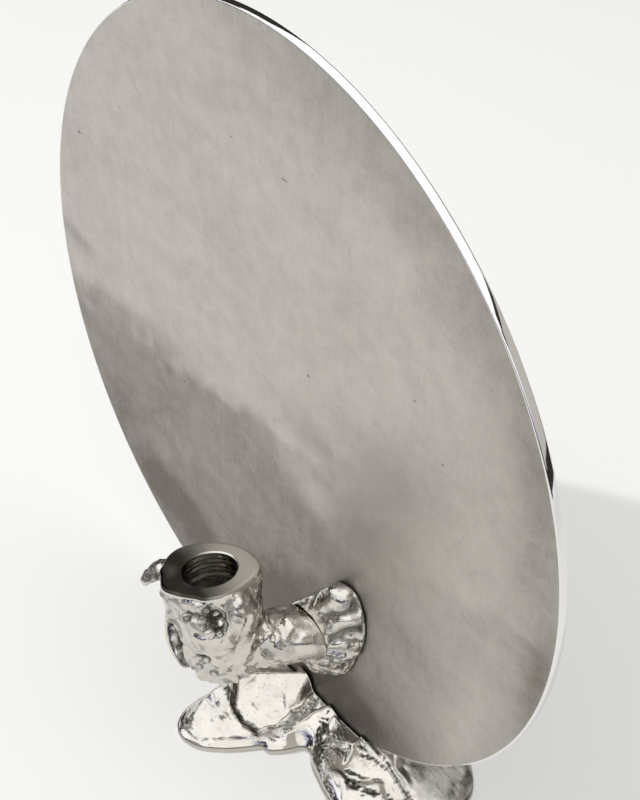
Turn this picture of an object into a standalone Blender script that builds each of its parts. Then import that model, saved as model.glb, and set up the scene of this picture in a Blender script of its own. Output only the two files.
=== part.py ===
"""Drip candle holder: a round upright reflector disc on a poured-looking foot, with a candle cup
on a short arm in front of it.

The disc's front face lies in the plane y = 0 and looks along -Y. Its centre is at x = 0, the foot
rests on z = 0, and the arm leaves the disc at x = ARM_X. The cup, arm and collar hang on two screws
that pass from the foot's rear buttress through the disc.
"""
import math

import bmesh
import bpy
from mathutils import Matrix, Vector

MM = 0.001

# Clearances
GAP = 0.3 * MM                    # between neighbouring pieces
HOLE_CLEARANCE = 0.3 * MM         # round a screw's shank
OVERCUT = 5.0 * MM                # how far a cutter runs past what it cuts

# Reflector disc
DISC_RADIUS = 160.0 * MM
DISC_THICKNESS = 3.8 * MM
DISC_FLAT_HALF = 59.0 * MM        # half the width of the flat that the disc stands on
DISC_EDGE_BEVEL = 0.5 * MM
DISC_SEGMENTS = 180

# Foot
SEAT_HEIGHT = 14.0 * MM           # table to the disc's flat
SEAT_SINK = 1.5 * MM              # how deep the flat sits in the foot
FOOT_CENTRE = (36.0 * MM, 2.0 * MM)
FOOT_RADIUS = 70.0 * MM           # the longest lobes, about
FOOT_BAND = 3.4 * MM              # the straight wall round the foot's edge
FOOT_SEGMENTS = 84
FOOT_RINGS = 26
RIDGE_HEIGHT = 25.0 * MM
RIDGE_WIDTH = 13.0 * MM
RIDGE_BACK_WIDTH = 6.0 * MM

# Rear buttress, part of the foot
BUTTRESS_DEPTH = 13.0 * MM        # disc's back to the screws' washers
BUTTRESS_WIDTH = 17.0 * MM        # half width at the table
BUTTRESS_TOP_WIDTH = 13.0 * MM
BUTTRESS_ABOVE_SCREW = 14.0 * MM   # upper screw to the top

# Arm and collar
ARM_X = 41.0 * MM
ARM_HEIGHT = 68.5 * MM            # table to the arm's axis
ARM_RADIUS = 11.8 * MM
TENON_RADIUS = 5.0 * MM           # the arm's tenon in the collar
TENON_LENGTH = 7.0 * MM
COLLAR_DEPTH = 12.0 * MM          # disc to the seam between collar and arm
COLLAR_HALF_HEIGHT = 33.0 * MM
COLLAR_HALF_WIDTH = 14.6 * MM
COLLAR_TILT = math.radians(20.0)
COLLAR_DROP = 1.5 * MM            # collar's centre below the arm's axis

# Candle cup
CUP_X = 15.0 * MM                 # rim's centre
CUP_REACH = 44.0 * MM             # rim's centre in front of the disc
CUP_TOP = 107.0 * MM
CUP_LEAN = math.radians(8.9)      # the cup leans towards -X
CUP_LENGTH = 56.0 * MM
RIM_RADIUS = 19.2 * MM
CUP_RADIUS = 19.0 * MM            # below the rim
STEM_RADIUS = 12.6 * MM           # where the cup has passed the arm
BORE_RADIUS = 11.0 * MM
BORE_DEPTH = 24.0 * MM
BORE_LIP = 0.75 * MM
DROP_RADIUS = 3.0 * MM
HORN_LENGTH = 7.5 * MM            # the pointed drop that stands out from the rim
HORN_RADIUS = 4.2 * MM
HORN_TURN = math.radians(-140)
HORN_DROP = 6.0 * MM              # below the rim
HORN_TIP_SHARE = 0.35

# Screws and washers
SCREW_RADIUS = 2.5 * MM
SCREW_BITE = 8.0 * MM             # length inside the collar
UPPER_SCREW_RISE = 12.5 * MM      # above the arm's axis
LOWER_SCREW_DROP = 17.0 * MM      # below the arm's axis
WASHER_THICKNESS = 1.2 * MM
WASHER_RADIUS = 5.2 * MM
HEAD_RADIUS = 4.25 * MM
HEAD_HEIGHT = 5.0 * MM
SOCKET_RADIUS = 2.3 * MM
SOCKET_DEPTH = 2.6 * MM
TIP_CHAMFER = 0.5 * MM

# Colours read from the photograph
NICKEL = (0.72, 0.69, 0.64)
SATIN = (0.50, 0.47, 0.43)
STEEL = (0.55, 0.55, 0.55)

# Shape tables: the foot's outline as (degrees, share of its radius) from its centre
FOOT_OUTLINE = (
    (-123, 0.96), (-115, 0.86), (-110, 0.69), (-104, 0.52), (-98, 0.44), (-92, 0.39), (-84, 0.29),
    (-72, 0.29), (-61, 0.39), (-50, 0.54), (-36, 0.80), (-20, 0.94), (-2, 0.99), (18, 0.99),
    (31, 0.89), (50, 0.74), (72, 0.83), (90, 0.86), (112, 0.67), (142, 0.81), (162, 1.03),
    (177, 1.04), (-170, 0.84), (-157, 0.73), (-146, 0.80), (-132, 0.94),
)
# The ridge from the disc down to the front lobe's tip: x and y from the foot's centre as shares
# of its radius, z as a share of the ridge's height
FOOT_RIDGE = (
    (-0.30, -0.03, 0.60), (-0.36, -0.10, 0.80), (-0.38, -0.26, 1.00), (-0.42, -0.41, 1.00),
    (-0.49, -0.51, 0.80), (-0.53, -0.61, 0.52), (-0.51, -0.73, 0.28),
)
# The cup's rim as (degrees, share of the rim's radius)
RIM_SHAPE = (
    (-149, 1.07), (-120, 1.03), (-96, 1.08), (-77, 0.95), (-55, 0.97), (-34, 1.10), (-16, 1.03),
    (2, 0.96), (23, 1.02), (37, 1.16), (55, 1.09), (73, 1.05), (92, 0.99), (115, 0.92),
    (141, 0.93), (160, 0.98), (176, 1.08),
)
# Hardened drops on the cup: turn about its axis in degrees, share of the cup's length below the
# rim, size ratio, and how far each is drawn out along Z
CUP_DROPS = (
    (-134, 0.10, 1.2, 1.3), (-104, 0.28, 0.7, 1.0), (-66, 0.27, 1.0, 1.6),
    (-58, 0.39, 1.0, 1.2), (-92, 0.64, 1.0, 1.2), (-142, 0.54, 2.6, 2.0),
    (-12, 0.25, 1.4, 3.0), (14, 0.39, 1.3, 3.2), (-74, 0.78, 0.8, 1.0),
)

disc_flat = math.sqrt(DISC_RADIUS ** 2 - DISC_FLAT_HALF ** 2)   # disc's centre to its flat
disc_centre = Vector((0.0, 0.0, SEAT_HEIGHT + disc_flat))
arm_root = Vector((ARM_X, 0.0, ARM_HEIGHT))
rim_centre = Vector((CUP_X, -CUP_REACH, CUP_TOP))
cup_axis = Vector((-math.sin(CUP_LEAN), 0.0, math.cos(CUP_LEAN)))
washer_face = DISC_THICKNESS + BUTTRESS_DEPTH
elbow = rim_centre - cup_axis * ((CUP_TOP - ARM_HEIGHT) / cup_axis.z)
arm_heading = (elbow - arm_root).normalized()
seam_centre = arm_root + arm_heading * (COLLAR_DEPTH / -arm_heading.y)


def clear_scene():
    """Remove every object that the file opened with."""
    for obj in list(bpy.data.objects):
        bpy.data.objects.remove(obj, do_unlink=True)


def new_collection(name):
    collection = bpy.data.collections.new(name)
    bpy.context.scene.collection.children.link(collection)
    return collection


def metal(name, colour, roughness, metallic=1.0):
    """A Principled material with one colour, roughness and metallic value."""
    material = bpy.data.materials.new(name)
    material.use_nodes = True
    shader = material.node_tree.nodes["Principled BSDF"]
    shader.inputs["Base Color"].default_value = (*colour, 1.0)
    shader.inputs["Roughness"].default_value = roughness
    shader.inputs["Metallic"].default_value = metallic
    return material


def wrapped(table, angle):
    """Read a closed table of (degrees, value) at an angle, with a smooth step between rows."""
    rows = sorted(table)
    degrees = (math.degrees(angle) - rows[0][0]) % 360.0 + rows[0][0]
    rows.append((rows[0][0] + 360.0, rows[0][1]))
    for (a, value_a), (b, value_b) in zip(rows, rows[1:]):
        if degrees <= b:
            t = (degrees - a) / (b - a)
            return value_a + (value_b - value_a) * t * t * (3.0 - 2.0 * t)
    return rows[-1][1]


def sphere(name, collection, segments, rings, place):
    """Start from a UV sphere and move each point to place(angle round, share of the way down)."""
    bm = bmesh.new()
    bmesh.ops.create_uvsphere(bm, u_segments=segments, v_segments=rings, radius=1.0)
    for vert in bm.verts:
        around = math.atan2(vert.co.y, vert.co.x)
        down = math.acos(max(-1.0, min(1.0, vert.co.z))) / math.pi
        vert.co = place(around, down)
    bmesh.ops.recalc_face_normals(bm, faces=bm.faces)
    return as_object(name, collection, bm)


def as_object(name, collection, bm):
    mesh = bpy.data.meshes.new(name)
    bm.to_mesh(mesh)
    bm.free()
    obj = bpy.data.objects.new(name, mesh)
    collection.objects.link(obj)
    return obj


def cone(name, collection, radius, tip_radius, start, end, segments=32):
    """A closed cone from one point to another, with its radius at each."""
    bm = bmesh.new()
    length = (end - start).length
    bmesh.ops.create_cone(bm, cap_ends=True, segments=segments, radius1=radius,
                          radius2=tip_radius, depth=length)
    turn = (end - start).to_track_quat("Z", "Y").to_matrix().to_4x4()
    bm.transform(Matrix.Translation((start + end) / 2) @ turn)
    return as_object(name, collection, bm)


def cylinder(name, collection, radius, start, end, segments=32):
    """A closed cylinder of the given radius from one point to another."""
    return cone(name, collection, radius, radius, start, end, segments)


def box(name, collection, low, high):
    """A closed box between two corners."""
    bm = bmesh.new()
    bmesh.ops.create_cube(bm, size=1.0)
    low, high = Vector(low), Vector(high)
    size = Matrix.Diagonal((*(high - low), 1.0))
    bm.transform(Matrix.Translation((low + high) / 2) @ size)
    return as_object(name, collection, bm)


def combine(obj, tool, operation):
    """Join a second piece to this one, or cut it away, with the exact solver."""
    modifier = obj.modifiers.new(operation.title() + " " + tool.name, "BOOLEAN")
    modifier.operation = operation
    modifier.solver = "EXACT"
    modifier.object = tool
    tool.hide_render = True
    tool.display_type = "WIRE"


def finish(obj, material, sharp=35.0):
    """Give the piece its material and shade its round faces smooth."""
    obj.data.materials.append(material)
    obj.data.shade_smooth()
    obj.data.set_sharp_from_angle(angle=math.radians(sharp))


def swept(points, share):
    """A point on the smooth line through the given points, with its direction.

    Catmull-Rom between neighbours, with the end points doubled.
    """
    spans = len(points) - 1
    at = min(share * spans, spans - 1e-9)
    i = int(at)
    t = at - i
    p0, p1 = points[max(i - 1, 0)], points[i]
    p2, p3 = points[i + 1], points[min(i + 2, spans)]
    place = 0.5 * (2 * p1 + (p2 - p0) * t + (2 * p0 - 5 * p1 + 4 * p2 - p3) * t * t
                   + (3 * p1 - p0 - 3 * p2 + p3) * t ** 3)
    heading = 0.5 * ((p2 - p0) + 2 * (2 * p0 - 5 * p1 + 4 * p2 - p3) * t
                     + 3 * (3 * p1 - p0 - 3 * p2 + p3) * t * t)
    return place, heading.normalized()


def round_end(down, cap=0.14):
    """Share along the form and share of its radius, with a round cap at each end.

    Over the first and last tenth or so the radius follows a quarter circle.
    """
    side = min(down, 1.0 - down)
    if side >= cap:
        return down, 1.0
    turn = side / cap * math.pi / 2
    along = cap * (1.0 - math.cos(turn))
    return (along if down < 0.5 else 1.0 - along), math.sin(turn)


def build_disc(parts, cutters):
    """The reflector: a thick round plate with a flat to stand on and two screw holes."""
    disc = cylinder("reflector_disc", parts, DISC_RADIUS, disc_centre,
                    disc_centre + Vector((0, DISC_THICKNESS, 0)), DISC_SEGMENTS)
    flat = box("disc_flat_cutter", cutters,
               (-DISC_RADIUS, -OVERCUT, disc_centre.z - DISC_RADIUS - OVERCUT),
               (DISC_RADIUS, DISC_THICKNESS + OVERCUT, SEAT_HEIGHT))
    combine(disc, flat, "DIFFERENCE")
    bevel = disc.modifiers.new("Edge bevel", "BEVEL")
    bevel.width = DISC_EDGE_BEVEL
    bevel.segments = 1
    bevel.limit_method = "ANGLE"
    bevel.angle_limit = math.radians(30)
    for name, place in screw_axes():
        hole = cylinder("disc_hole_" + name, cutters, SCREW_RADIUS + HOLE_CLEARANCE,
                        place - Vector((0, OVERCUT, 0)),
                        place + Vector((0, DISC_THICKNESS + OVERCUT, 0)))
        combine(disc, hole, "DIFFERENCE")
    return disc


def screw_axes():
    """Name and point on the disc's front plane of each screw, on the collar's long axis."""
    for name, rise in (("upper", UPPER_SCREW_RISE), ("lower", -LOWER_SCREW_DROP)):
        yield name, arm_root + Vector(((rise + COLLAR_DROP) * math.tan(COLLAR_TILT), 0, rise))


def foot_edge(angle):
    """The foot's outline: distance from its centre at an angle."""
    return wrapped(FOOT_OUTLINE, angle) * FOOT_RADIUS


def foot_height(x, y, out):
    """Height of the foot's upper side at a point that lies a share `out` of the way to its edge.

    A crown that falls to the band with the fourth power of `out`, or the front ridge where that is
    higher. The ridge falls off as a bell, quickly on its -X side and slowly on its +X side.
    """
    crown = FOOT_BAND + (SEAT_HEIGHT + SEAT_SINK - FOOT_BAND) * (1.0 - out ** 4)
    ridge = 0.0
    rows = [(FOOT_CENTRE[0] + a * FOOT_RADIUS, FOOT_CENTRE[1] + b * FOOT_RADIUS, c * RIDGE_HEIGHT)
            for a, b, c in FOOT_RIDGE]
    for (ax, ay, az), (bx, by, bz) in zip(rows, rows[1:]):
        run, rel = Vector((bx - ax, by - ay)), Vector((x - ax, y - ay))
        t = max(0.0, min(1.0, rel.dot(run) / run.length_squared))
        off = rel - run * t
        width = RIDGE_WIDTH if off.x > 0 else RIDGE_BACK_WIDTH
        ridge = max(ridge, (az + (bz - az) * t - FOOT_BAND) * math.exp(-(off.length / width) ** 2))
    edge = 1.0 - max(0.0, (out - 0.86) / 0.14) ** 2
    return max(crown, FOOT_BAND + ridge * edge)


def build_foot(parts, cutters):
    """The foot: a lobed puddle with a ridge, joined to a buttress that rises behind the disc."""

    def puddle(around, down):
        """Upper side over the first half, then the wall and the flat underside."""
        edge = foot_edge(around)
        if down <= 0.5:
            out = math.sin(down * math.pi) ** 0.8
        else:
            out = min(1.0, 2.4 * (1.0 - down))
        x = FOOT_CENTRE[0] + edge * out * math.cos(around)
        y = FOOT_CENTRE[1] + edge * out * math.sin(around)
        z = foot_height(x, y, out) if down <= 0.5 + 1e-6 else -OVERCUT
        return Vector((x, y, z))

    foot = sphere("foot_casting", parts, FOOT_SEGMENTS, FOOT_RINGS, puddle)

    places = dict(screw_axes())
    base = Vector((places["lower"].x, washer_face + BUTTRESS_WIDTH / 2, SEAT_HEIGHT / 3))
    top = places["upper"] + Vector((0, DISC_THICKNESS + BUTTRESS_DEPTH * 0.45,
                                    BUTTRESS_ABOVE_SCREW))
    line = (base, base.lerp(top, 0.5) - Vector((0, BUTTRESS_WIDTH * 0.18, 0)), top)

    def rise(around, down):
        share, swell = round_end(1.0 - down)
        place, _ = swept(line, share)
        half = BUTTRESS_WIDTH + (BUTTRESS_TOP_WIDTH - BUTTRESS_WIDTH) * min(1.0, share * 1.6)
        half *= swell * (1.0 + 0.05 * math.sin(3 * around + 9 * share))
        depth = half * (1.15 - 0.25 * share)
        return place + Vector((half * math.cos(around), depth * math.sin(around), 0))

    buttress = sphere("buttress_form", cutters, 28, 18, rise)
    ahead = box("buttress_front_cutter", cutters, (-DISC_RADIUS, -DISC_RADIUS, -DISC_RADIUS),
                (DISC_RADIUS, DISC_THICKNESS + GAP, disc_centre.z))
    combine(buttress, ahead, "DIFFERENCE")
    combine(foot, buttress, "UNION")
    under = box("table_cutter", cutters, (-DISC_RADIUS, -DISC_RADIUS, -DISC_RADIUS),
                (DISC_RADIUS, DISC_RADIUS, 0.0))
    combine(foot, under, "DIFFERENCE")
    slot = box("disc_seat_cutter", cutters, (-DISC_RADIUS, -GAP, SEAT_HEIGHT - GAP),
               (DISC_RADIUS, DISC_THICKNESS + GAP, disc_centre.z))
    combine(foot, slot, "DIFFERENCE")
    for name, place in screw_axes():
        hole = cylinder("buttress_hole_" + name, cutters, SCREW_RADIUS + HOLE_CLEARANCE,
                        place, place + Vector((0, washer_face + DISC_RADIUS, 0)))
        combine(foot, hole, "DIFFERENCE")
        spot = cylinder("spot_face_" + name, cutters, WASHER_RADIUS + 3 * GAP,
                        place + Vector((0, washer_face, 0)),
                        place + Vector((0, washer_face + DISC_RADIUS, 0)))
        combine(foot, spot, "DIFFERENCE")
    return foot


def collar_radius(around):
    """The collar's outline on the disc, from the arm's axis: a tilted oval set below it."""
    centre = Vector((0.0, -COLLAR_DROP))
    along = Vector((math.sin(COLLAR_TILT), math.cos(COLLAR_TILT)))
    across = Vector((along.y, -along.x))
    ray = Vector((math.cos(around), math.sin(around)))
    p, q = ray.dot(along) / COLLAR_HALF_HEIGHT, ray.dot(across) / COLLAR_HALF_WIDTH
    cp, cq = centre.dot(along) / COLLAR_HALF_HEIGHT, centre.dot(across) / COLLAR_HALF_WIDTH
    a, b, c = p * p + q * q, p * cp + q * cq, cp * cp + cq * cq - 1.0
    return (b + math.sqrt(b * b - a * c)) / a


def build_collar(parts, cutters):
    """The collar that flares from the arm's seam to the disc, cut flat at both."""

    def flare(around, down):
        """Full outline at the disc, then a steep shoulder down to the arm's radius."""
        share, swell = round_end(down, 0.2)
        depth = -COLLAR_DEPTH * 0.5 + share * COLLAR_DEPTH * 2.0
        at = max(0.0, min(1.0, depth / COLLAR_DEPTH))
        outline = collar_radius(around)
        narrow = ARM_RADIUS * 1.04
        shoulder = math.sqrt(max(0.0, 1.0 - at ** 1.6))
        radius = narrow + (outline - narrow) * shoulder
        radius *= swell * (1.0 + 0.03 * math.sin(4 * around + 5 * at))
        return arm_root + Vector((radius * math.cos(around), -depth, radius * math.sin(around)))

    collar = sphere("arm_collar", parts, 40, 22, flare)
    wide = 2 * COLLAR_HALF_HEIGHT
    behind = box("collar_disc_cutter", cutters, arm_root + Vector((-wide, -GAP, -wide)),
                 arm_root + Vector((wide, 3 * COLLAR_DEPTH, wide)))
    combine(collar, behind, "DIFFERENCE")
    front = box("collar_seam_cutter", cutters, arm_root + Vector((-wide, -3 * COLLAR_DEPTH, -wide)),
                arm_root + Vector((wide, -COLLAR_DEPTH, wide)))
    combine(collar, front, "DIFFERENCE")
    for name, place in screw_axes():
        blind = cylinder("collar_hole_" + name, cutters, SCREW_RADIUS + HOLE_CLEARANCE,
                         place - Vector((0, SCREW_BITE + GAP, 0)), place + Vector((0, OVERCUT, 0)))
        combine(collar, blind, "DIFFERENCE")
    socket = cylinder("collar_socket", cutters, TENON_RADIUS + HOLE_CLEARANCE,
                      seam_centre - arm_heading * (TENON_LENGTH + GAP),
                      seam_centre + arm_heading * 2 * ARM_RADIUS)
    combine(collar, socket, "DIFFERENCE")
    return collar


def build_cup(parts, cutters):
    """The candle cup with its arm, tenon, hardened drops, flat rim and bore."""
    side = Vector((cup_axis.z, 0.0, -cup_axis.x))              # towards +X, square to the axis
    ahead = Vector((0.0, 1.0, 0.0))                            # towards the disc

    def body(around, down):
        """The rim's shape at the top, a taper below it and a round end under the elbow."""
        share, swell = round_end(down, 0.22)
        depth = CUP_LENGTH * (share * 1.3 - 0.3)
        at = max(0.0, depth / CUP_LENGTH)
        rim = RIM_RADIUS * wrapped(RIM_SHAPE, around)
        blend = max(0.0, 1.0 - at / 0.10)
        taper = min(1.0, max(0.0, (at - 0.2) / 0.7))
        taper = taper * taper * (3.0 - 2.0 * taper)
        radius = CUP_RADIUS + (STEM_RADIUS - CUP_RADIUS) * taper
        radius *= 1.0 + 0.04 * math.sin(3 * around + 8 * at)
        radius += (rim - radius) * blend
        return (rim_centre - cup_axis * depth
                + (side * math.cos(around) + ahead * math.sin(around)) * radius * swell)

    cup = sphere("candle_cup", parts, 44, 26, body)

    start = seam_centre - arm_heading * OVERCUT
    length = (elbow - start).length + STEM_RADIUS / 2

    def tube(around, down):
        """The arm: a level tube whose section wavers a little."""
        share, swell = round_end(down, 0.1)
        right = arm_heading.cross(Vector((0, 0, 1)))
        radius = ARM_RADIUS * swell * (1.0 + 0.05 * math.sin(2 * around + 7 * share))
        return (start + arm_heading * length * share
                + (right * math.cos(around) + Vector((0, 0, 1)) * math.sin(around)) * radius)

    arm = sphere("arm_form", cutters, 28, 22, tube)
    combine(cup, arm, "UNION")
    for number, (degrees, depth, size, drawn) in enumerate(CUP_DROPS, 1):
        angle = math.radians(degrees)
        out = side * math.cos(angle) + ahead * math.sin(angle)
        wall = body(angle, (depth + 0.3) / 1.3)
        centre = wall - out * DROP_RADIUS * size * 0.45

        def bead(around, down, centre=centre, radius=DROP_RADIUS * size, drawn=drawn):
            """A drop: a ball drawn out along Z."""
            level = math.sin(down * math.pi)
            ray = Vector((level * math.cos(around), level * math.sin(around),
                          drawn * math.cos(down * math.pi)))
            return centre + ray * radius

        combine(cup, sphere("drop_form_%d" % number, cutters, 12, 8, bead), "UNION")

    out = side * math.cos(HORN_TURN) + ahead * math.sin(HORN_TURN)
    reach = RIM_RADIUS * wrapped(RIM_SHAPE, HORN_TURN)
    root = rim_centre + out * (reach - 2 * HORN_RADIUS) - cup_axis * HORN_DROP
    tip = rim_centre + out * (reach + HORN_LENGTH) - cup_axis * HORN_DROP
    horn = cone("horn_form", cutters, HORN_RADIUS, HORN_RADIUS * HORN_TIP_SHARE, root, tip, 14)
    combine(cup, horn, "UNION")

    far = 8 * RIM_RADIUS
    above = box("rim_cutter", cutters, (-far, -far, 0), (far, far, far))
    above.data.transform(Matrix.Translation(rim_centre) @ Matrix.Rotation(-CUP_LEAN, 4, "Y"))
    combine(cup, above, "DIFFERENCE")
    seam = -COLLAR_DEPTH - GAP
    face = box("arm_seam_cutter", cutters, (-far, seam, 0), (far, far, far))
    combine(cup, face, "DIFFERENCE")
    tenon = cylinder("tenon_form", cutters, TENON_RADIUS,
                     seam_centre - arm_heading * TENON_LENGTH,
                     seam_centre + arm_heading * ARM_RADIUS)
    combine(cup, tenon, "UNION")
    combine(cup, turned_bore(cutters), "DIFFERENCE")
    return cup


def turned(name, collection, profile, place, turn, steps=40):
    """Turn a profile of (radius, height) about Z, listed from top to bottom on its outer side."""
    bm = bmesh.new()
    verts = [bm.verts.new((radius, 0.0, height)) for radius, height in profile]
    for a, b in zip(verts, verts[1:]):
        bm.edges.new((a, b))
    obj = as_object(name, collection, bm)
    obj.matrix_world = Matrix.Translation(place) @ turn
    screw = obj.modifiers.new("Turn", "SCREW")
    screw.axis = "Z"
    screw.steps = steps
    screw.render_steps = steps
    screw.use_merge_vertices = True
    screw.merge_threshold = 0.00001
    return obj


def turned_bore(cutters):
    """The candle's bore with its lip, as a cutter that stands on the cup's leaning axis."""
    profile = ((0.0, OVERCUT), (BORE_RADIUS + BORE_LIP + OVERCUT, OVERCUT),
               (BORE_RADIUS, -BORE_LIP), (BORE_RADIUS, -BORE_DEPTH), (0.0, -BORE_DEPTH))
    return turned("bore_cutter", cutters, profile, rim_centre,
                  Matrix.Rotation(-CUP_LEAN, 4, "Y"))


def build_screw(name, parts, cutters, place):
    """A socket-head screw along Y, its head on the washer and its tip in the collar."""
    seat = washer_face + WASHER_THICKNESS + 2 * GAP
    tip = -(seat + SCREW_BITE)
    profile = ((0.0, HEAD_HEIGHT), (HEAD_RADIUS - TIP_CHAMFER, HEAD_HEIGHT),
               (HEAD_RADIUS, HEAD_HEIGHT - TIP_CHAMFER), (HEAD_RADIUS, 0.0), (SCREW_RADIUS, 0.0),
               (SCREW_RADIUS, tip + TIP_CHAMFER), (SCREW_RADIUS - TIP_CHAMFER, tip), (0.0, tip))
    turn = Matrix.Rotation(-math.pi / 2, 4, "X")
    screw = turned(name, parts, profile, place + Vector((0, seat, 0)), turn, 28)
    socket = cylinder(name + "_socket", cutters, SOCKET_RADIUS,
                      place + Vector((0, seat + HEAD_HEIGHT - SOCKET_DEPTH, 0)),
                      place + Vector((0, seat + HEAD_HEIGHT + OVERCUT, 0)), 6)
    combine(screw, socket, "DIFFERENCE")
    return screw


def build_washer(name, parts, cutters, place):
    """A flat washer on the buttress's spot face."""
    low = washer_face + GAP
    washer = cylinder(name, parts, WASHER_RADIUS, place + Vector((0, low, 0)),
                      place + Vector((0, low + WASHER_THICKNESS, 0)), 40)
    hole = cylinder(name + "_hole", cutters, SCREW_RADIUS + HOLE_CLEARANCE, place,
                    place + Vector((0, washer_face + WASHER_THICKNESS + OVERCUT, 0)))
    combine(washer, hole, "DIFFERENCE")
    return washer


def main():
    clear_scene()
    parts = new_collection("drip_candle_holder")
    cutters = new_collection("cutters")
    nickel = metal("polished_nickel", NICKEL, 0.12)
    satin = metal("satin_plate", SATIN, 0.35)
    steel = metal("fastener_steel", STEEL, 0.30)

    finish(build_disc(parts, cutters), satin)
    finish(build_foot(parts, cutters), nickel)
    finish(build_collar(parts, cutters), nickel)
    finish(build_cup(parts, cutters), nickel)
    for name, place in screw_axes():
        finish(build_screw(name + "_screw", parts, cutters, place), steel)
        finish(build_washer(name + "_washer", parts, cutters, place), steel)


main()
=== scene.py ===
"""Looks of the drip candle holder: polished castings, a satin reflector disc and a plain studio.

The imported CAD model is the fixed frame. The castings and the disc are replaced by finer surfaces of
the same size; the screws and washers keep their CAD meshes and get a finish.
"""
import math

import bpy
import numpy as np
from bpy.props import FloatProperty, FloatVectorProperty, PointerProperty
from mathutils import Matrix, Vector


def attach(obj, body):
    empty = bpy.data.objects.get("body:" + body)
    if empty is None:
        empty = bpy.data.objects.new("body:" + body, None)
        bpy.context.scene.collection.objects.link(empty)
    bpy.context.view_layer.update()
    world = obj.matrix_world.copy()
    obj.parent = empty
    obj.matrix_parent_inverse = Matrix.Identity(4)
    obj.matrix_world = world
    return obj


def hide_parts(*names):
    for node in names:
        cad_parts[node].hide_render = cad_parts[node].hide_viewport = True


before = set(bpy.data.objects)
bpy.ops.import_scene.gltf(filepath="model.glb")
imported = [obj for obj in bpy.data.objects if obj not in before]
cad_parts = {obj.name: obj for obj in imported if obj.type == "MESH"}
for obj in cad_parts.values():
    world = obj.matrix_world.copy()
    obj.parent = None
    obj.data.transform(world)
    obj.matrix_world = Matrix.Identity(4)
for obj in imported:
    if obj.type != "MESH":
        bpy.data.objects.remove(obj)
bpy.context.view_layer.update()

bl_info = {
    "name": "Drip candle holder",
    "version": (1, 0, 0),
    "blender": (4, 5, 0),
    "location": "3D View > Sidebar > Holder",
    "description": "Builds the finished surfaces of a cast candle holder with a reflector disc",
    "category": "Object",
}

MM = 0.001

# Places and sizes in the CAD frame, in millimetres
UP = np.array([0.0, 0.0, 1.0])
AHEAD = np.array([0.0, 1.0, 0.0])            # towards the disc
ARM_ROOT = np.array([41.0, 0.0, 68.5])       # where the arm's axis meets the disc
RIM_CENTRE = np.array([15.0, -44.0, 107.0])
LEAN = math.radians(8.9)                     # the cup leans towards -X
CUP_AXIS = np.array([-math.sin(LEAN), 0.0, math.cos(LEAN)])
CUP_SIDE = np.array([math.cos(LEAN), 0.0, math.sin(LEAN)])
ELBOW = RIM_CENTRE - CUP_AXIS * ((RIM_CENTRE[2] - ARM_ROOT[2]) / CUP_AXIS[2])
ARM_LENGTH = float(np.linalg.norm(ELBOW - ARM_ROOT))
HEADING = (ELBOW - ARM_ROOT) / ARM_LENGTH
RIGHT = np.cross(HEADING, UP)
HINGE = np.cross(HEADING, CUP_AXIS) / np.linalg.norm(np.cross(HEADING, CUP_AXIS))
FOOT_CENTRE = np.array([36.0, 2.0, 0.0])
SEAT_HEIGHT = 14.0                           # table to the disc's flat
SEAT_SINK = 1.5                              # how deep the flat sits in the foot
SCREW_PLACES = ((46.1, 81.0), (35.4, 51.5))  # x and z of the upper and the lower screw
WASHER_FACE = 16.8                           # y of the faces on which the washers lie
DISC_GAP = 0.3                               # from the disc to a casting
SEAM_GAP = 0.05                              # from the collar to the arm
SEAM_NICK = 0.14                             # how far both edges of the seam are rounded down
CUP_END = 16.0                               # height of the half ellipsoid that ends the cup
LIP = 1.25                                   # rounding of the rim's outer edge
BORE_EDGE = 0.75                             # rounding of the bore's mouth
BORE_GROOVES = (3.4, 7.4, 12.0)              # their depths
FLOOR_ROUND = 0.8                            # rounding between the bore and its floor
BEAD_FOOT = 0.45                             # half width of the dark line round a bead
TENON_RADIUS, TENON_LENGTH = 5.0, 7.0

# The cup's rim and the foot's outline as (degrees, share of the radius)
RIM_SHAPE = (
    (-172, 1.13), (-160, 1.12), (-140, 1.04), (-118, 1.03), (-98, 1.085), (-79, 0.98), (-60, 0.92),
    (-40, 0.95), (-27, 0.98), (-14, 0.94), (2, 0.90), (16, 0.90), (30, 0.95), (43, 1.03),
    (60, 1.08), (73, 1.02), (92, 0.965), (115, 0.92), (139, 0.92), (160, 0.985), (177, 1.09),
)
FOOT_OUTLINE = (
    (-123, 0.96), (-115, 0.86), (-110, 0.70), (-105, 0.505), (-98, 0.455), (-92, 0.38), (-85, 0.29),
    (-77, 0.265), (-69, 0.285), (-60, 0.36), (-49, 0.47), (-38, 0.64), (-29, 0.82), (-18, 0.94),
    (-2, 0.99), (18, 0.99), (31, 0.89), (50, 0.74), (72, 0.83), (90, 0.853), (112, 0.67),
    (142, 0.81), (162, 1.03), (177, 1.04), (-170, 0.84), (-157, 0.73), (-146, 0.80), (-132, 0.94),
)
# The foot's ridge from the disc to the front lobe's tip: x, y and z in millimetres
FOOT_RIDGE = (
    (13.5, -0.1, 15.0), (17.0, -4.0, 22.5), (12.5, -10.0, 23.5), (8.0, -17.0, 24.0),
    (4.5, -25.0, 22.5), (1.4, -33.7, 19.0), (-1.1, -40.7, 13.0), (0.3, -49.1, 7.0),
)
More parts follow.
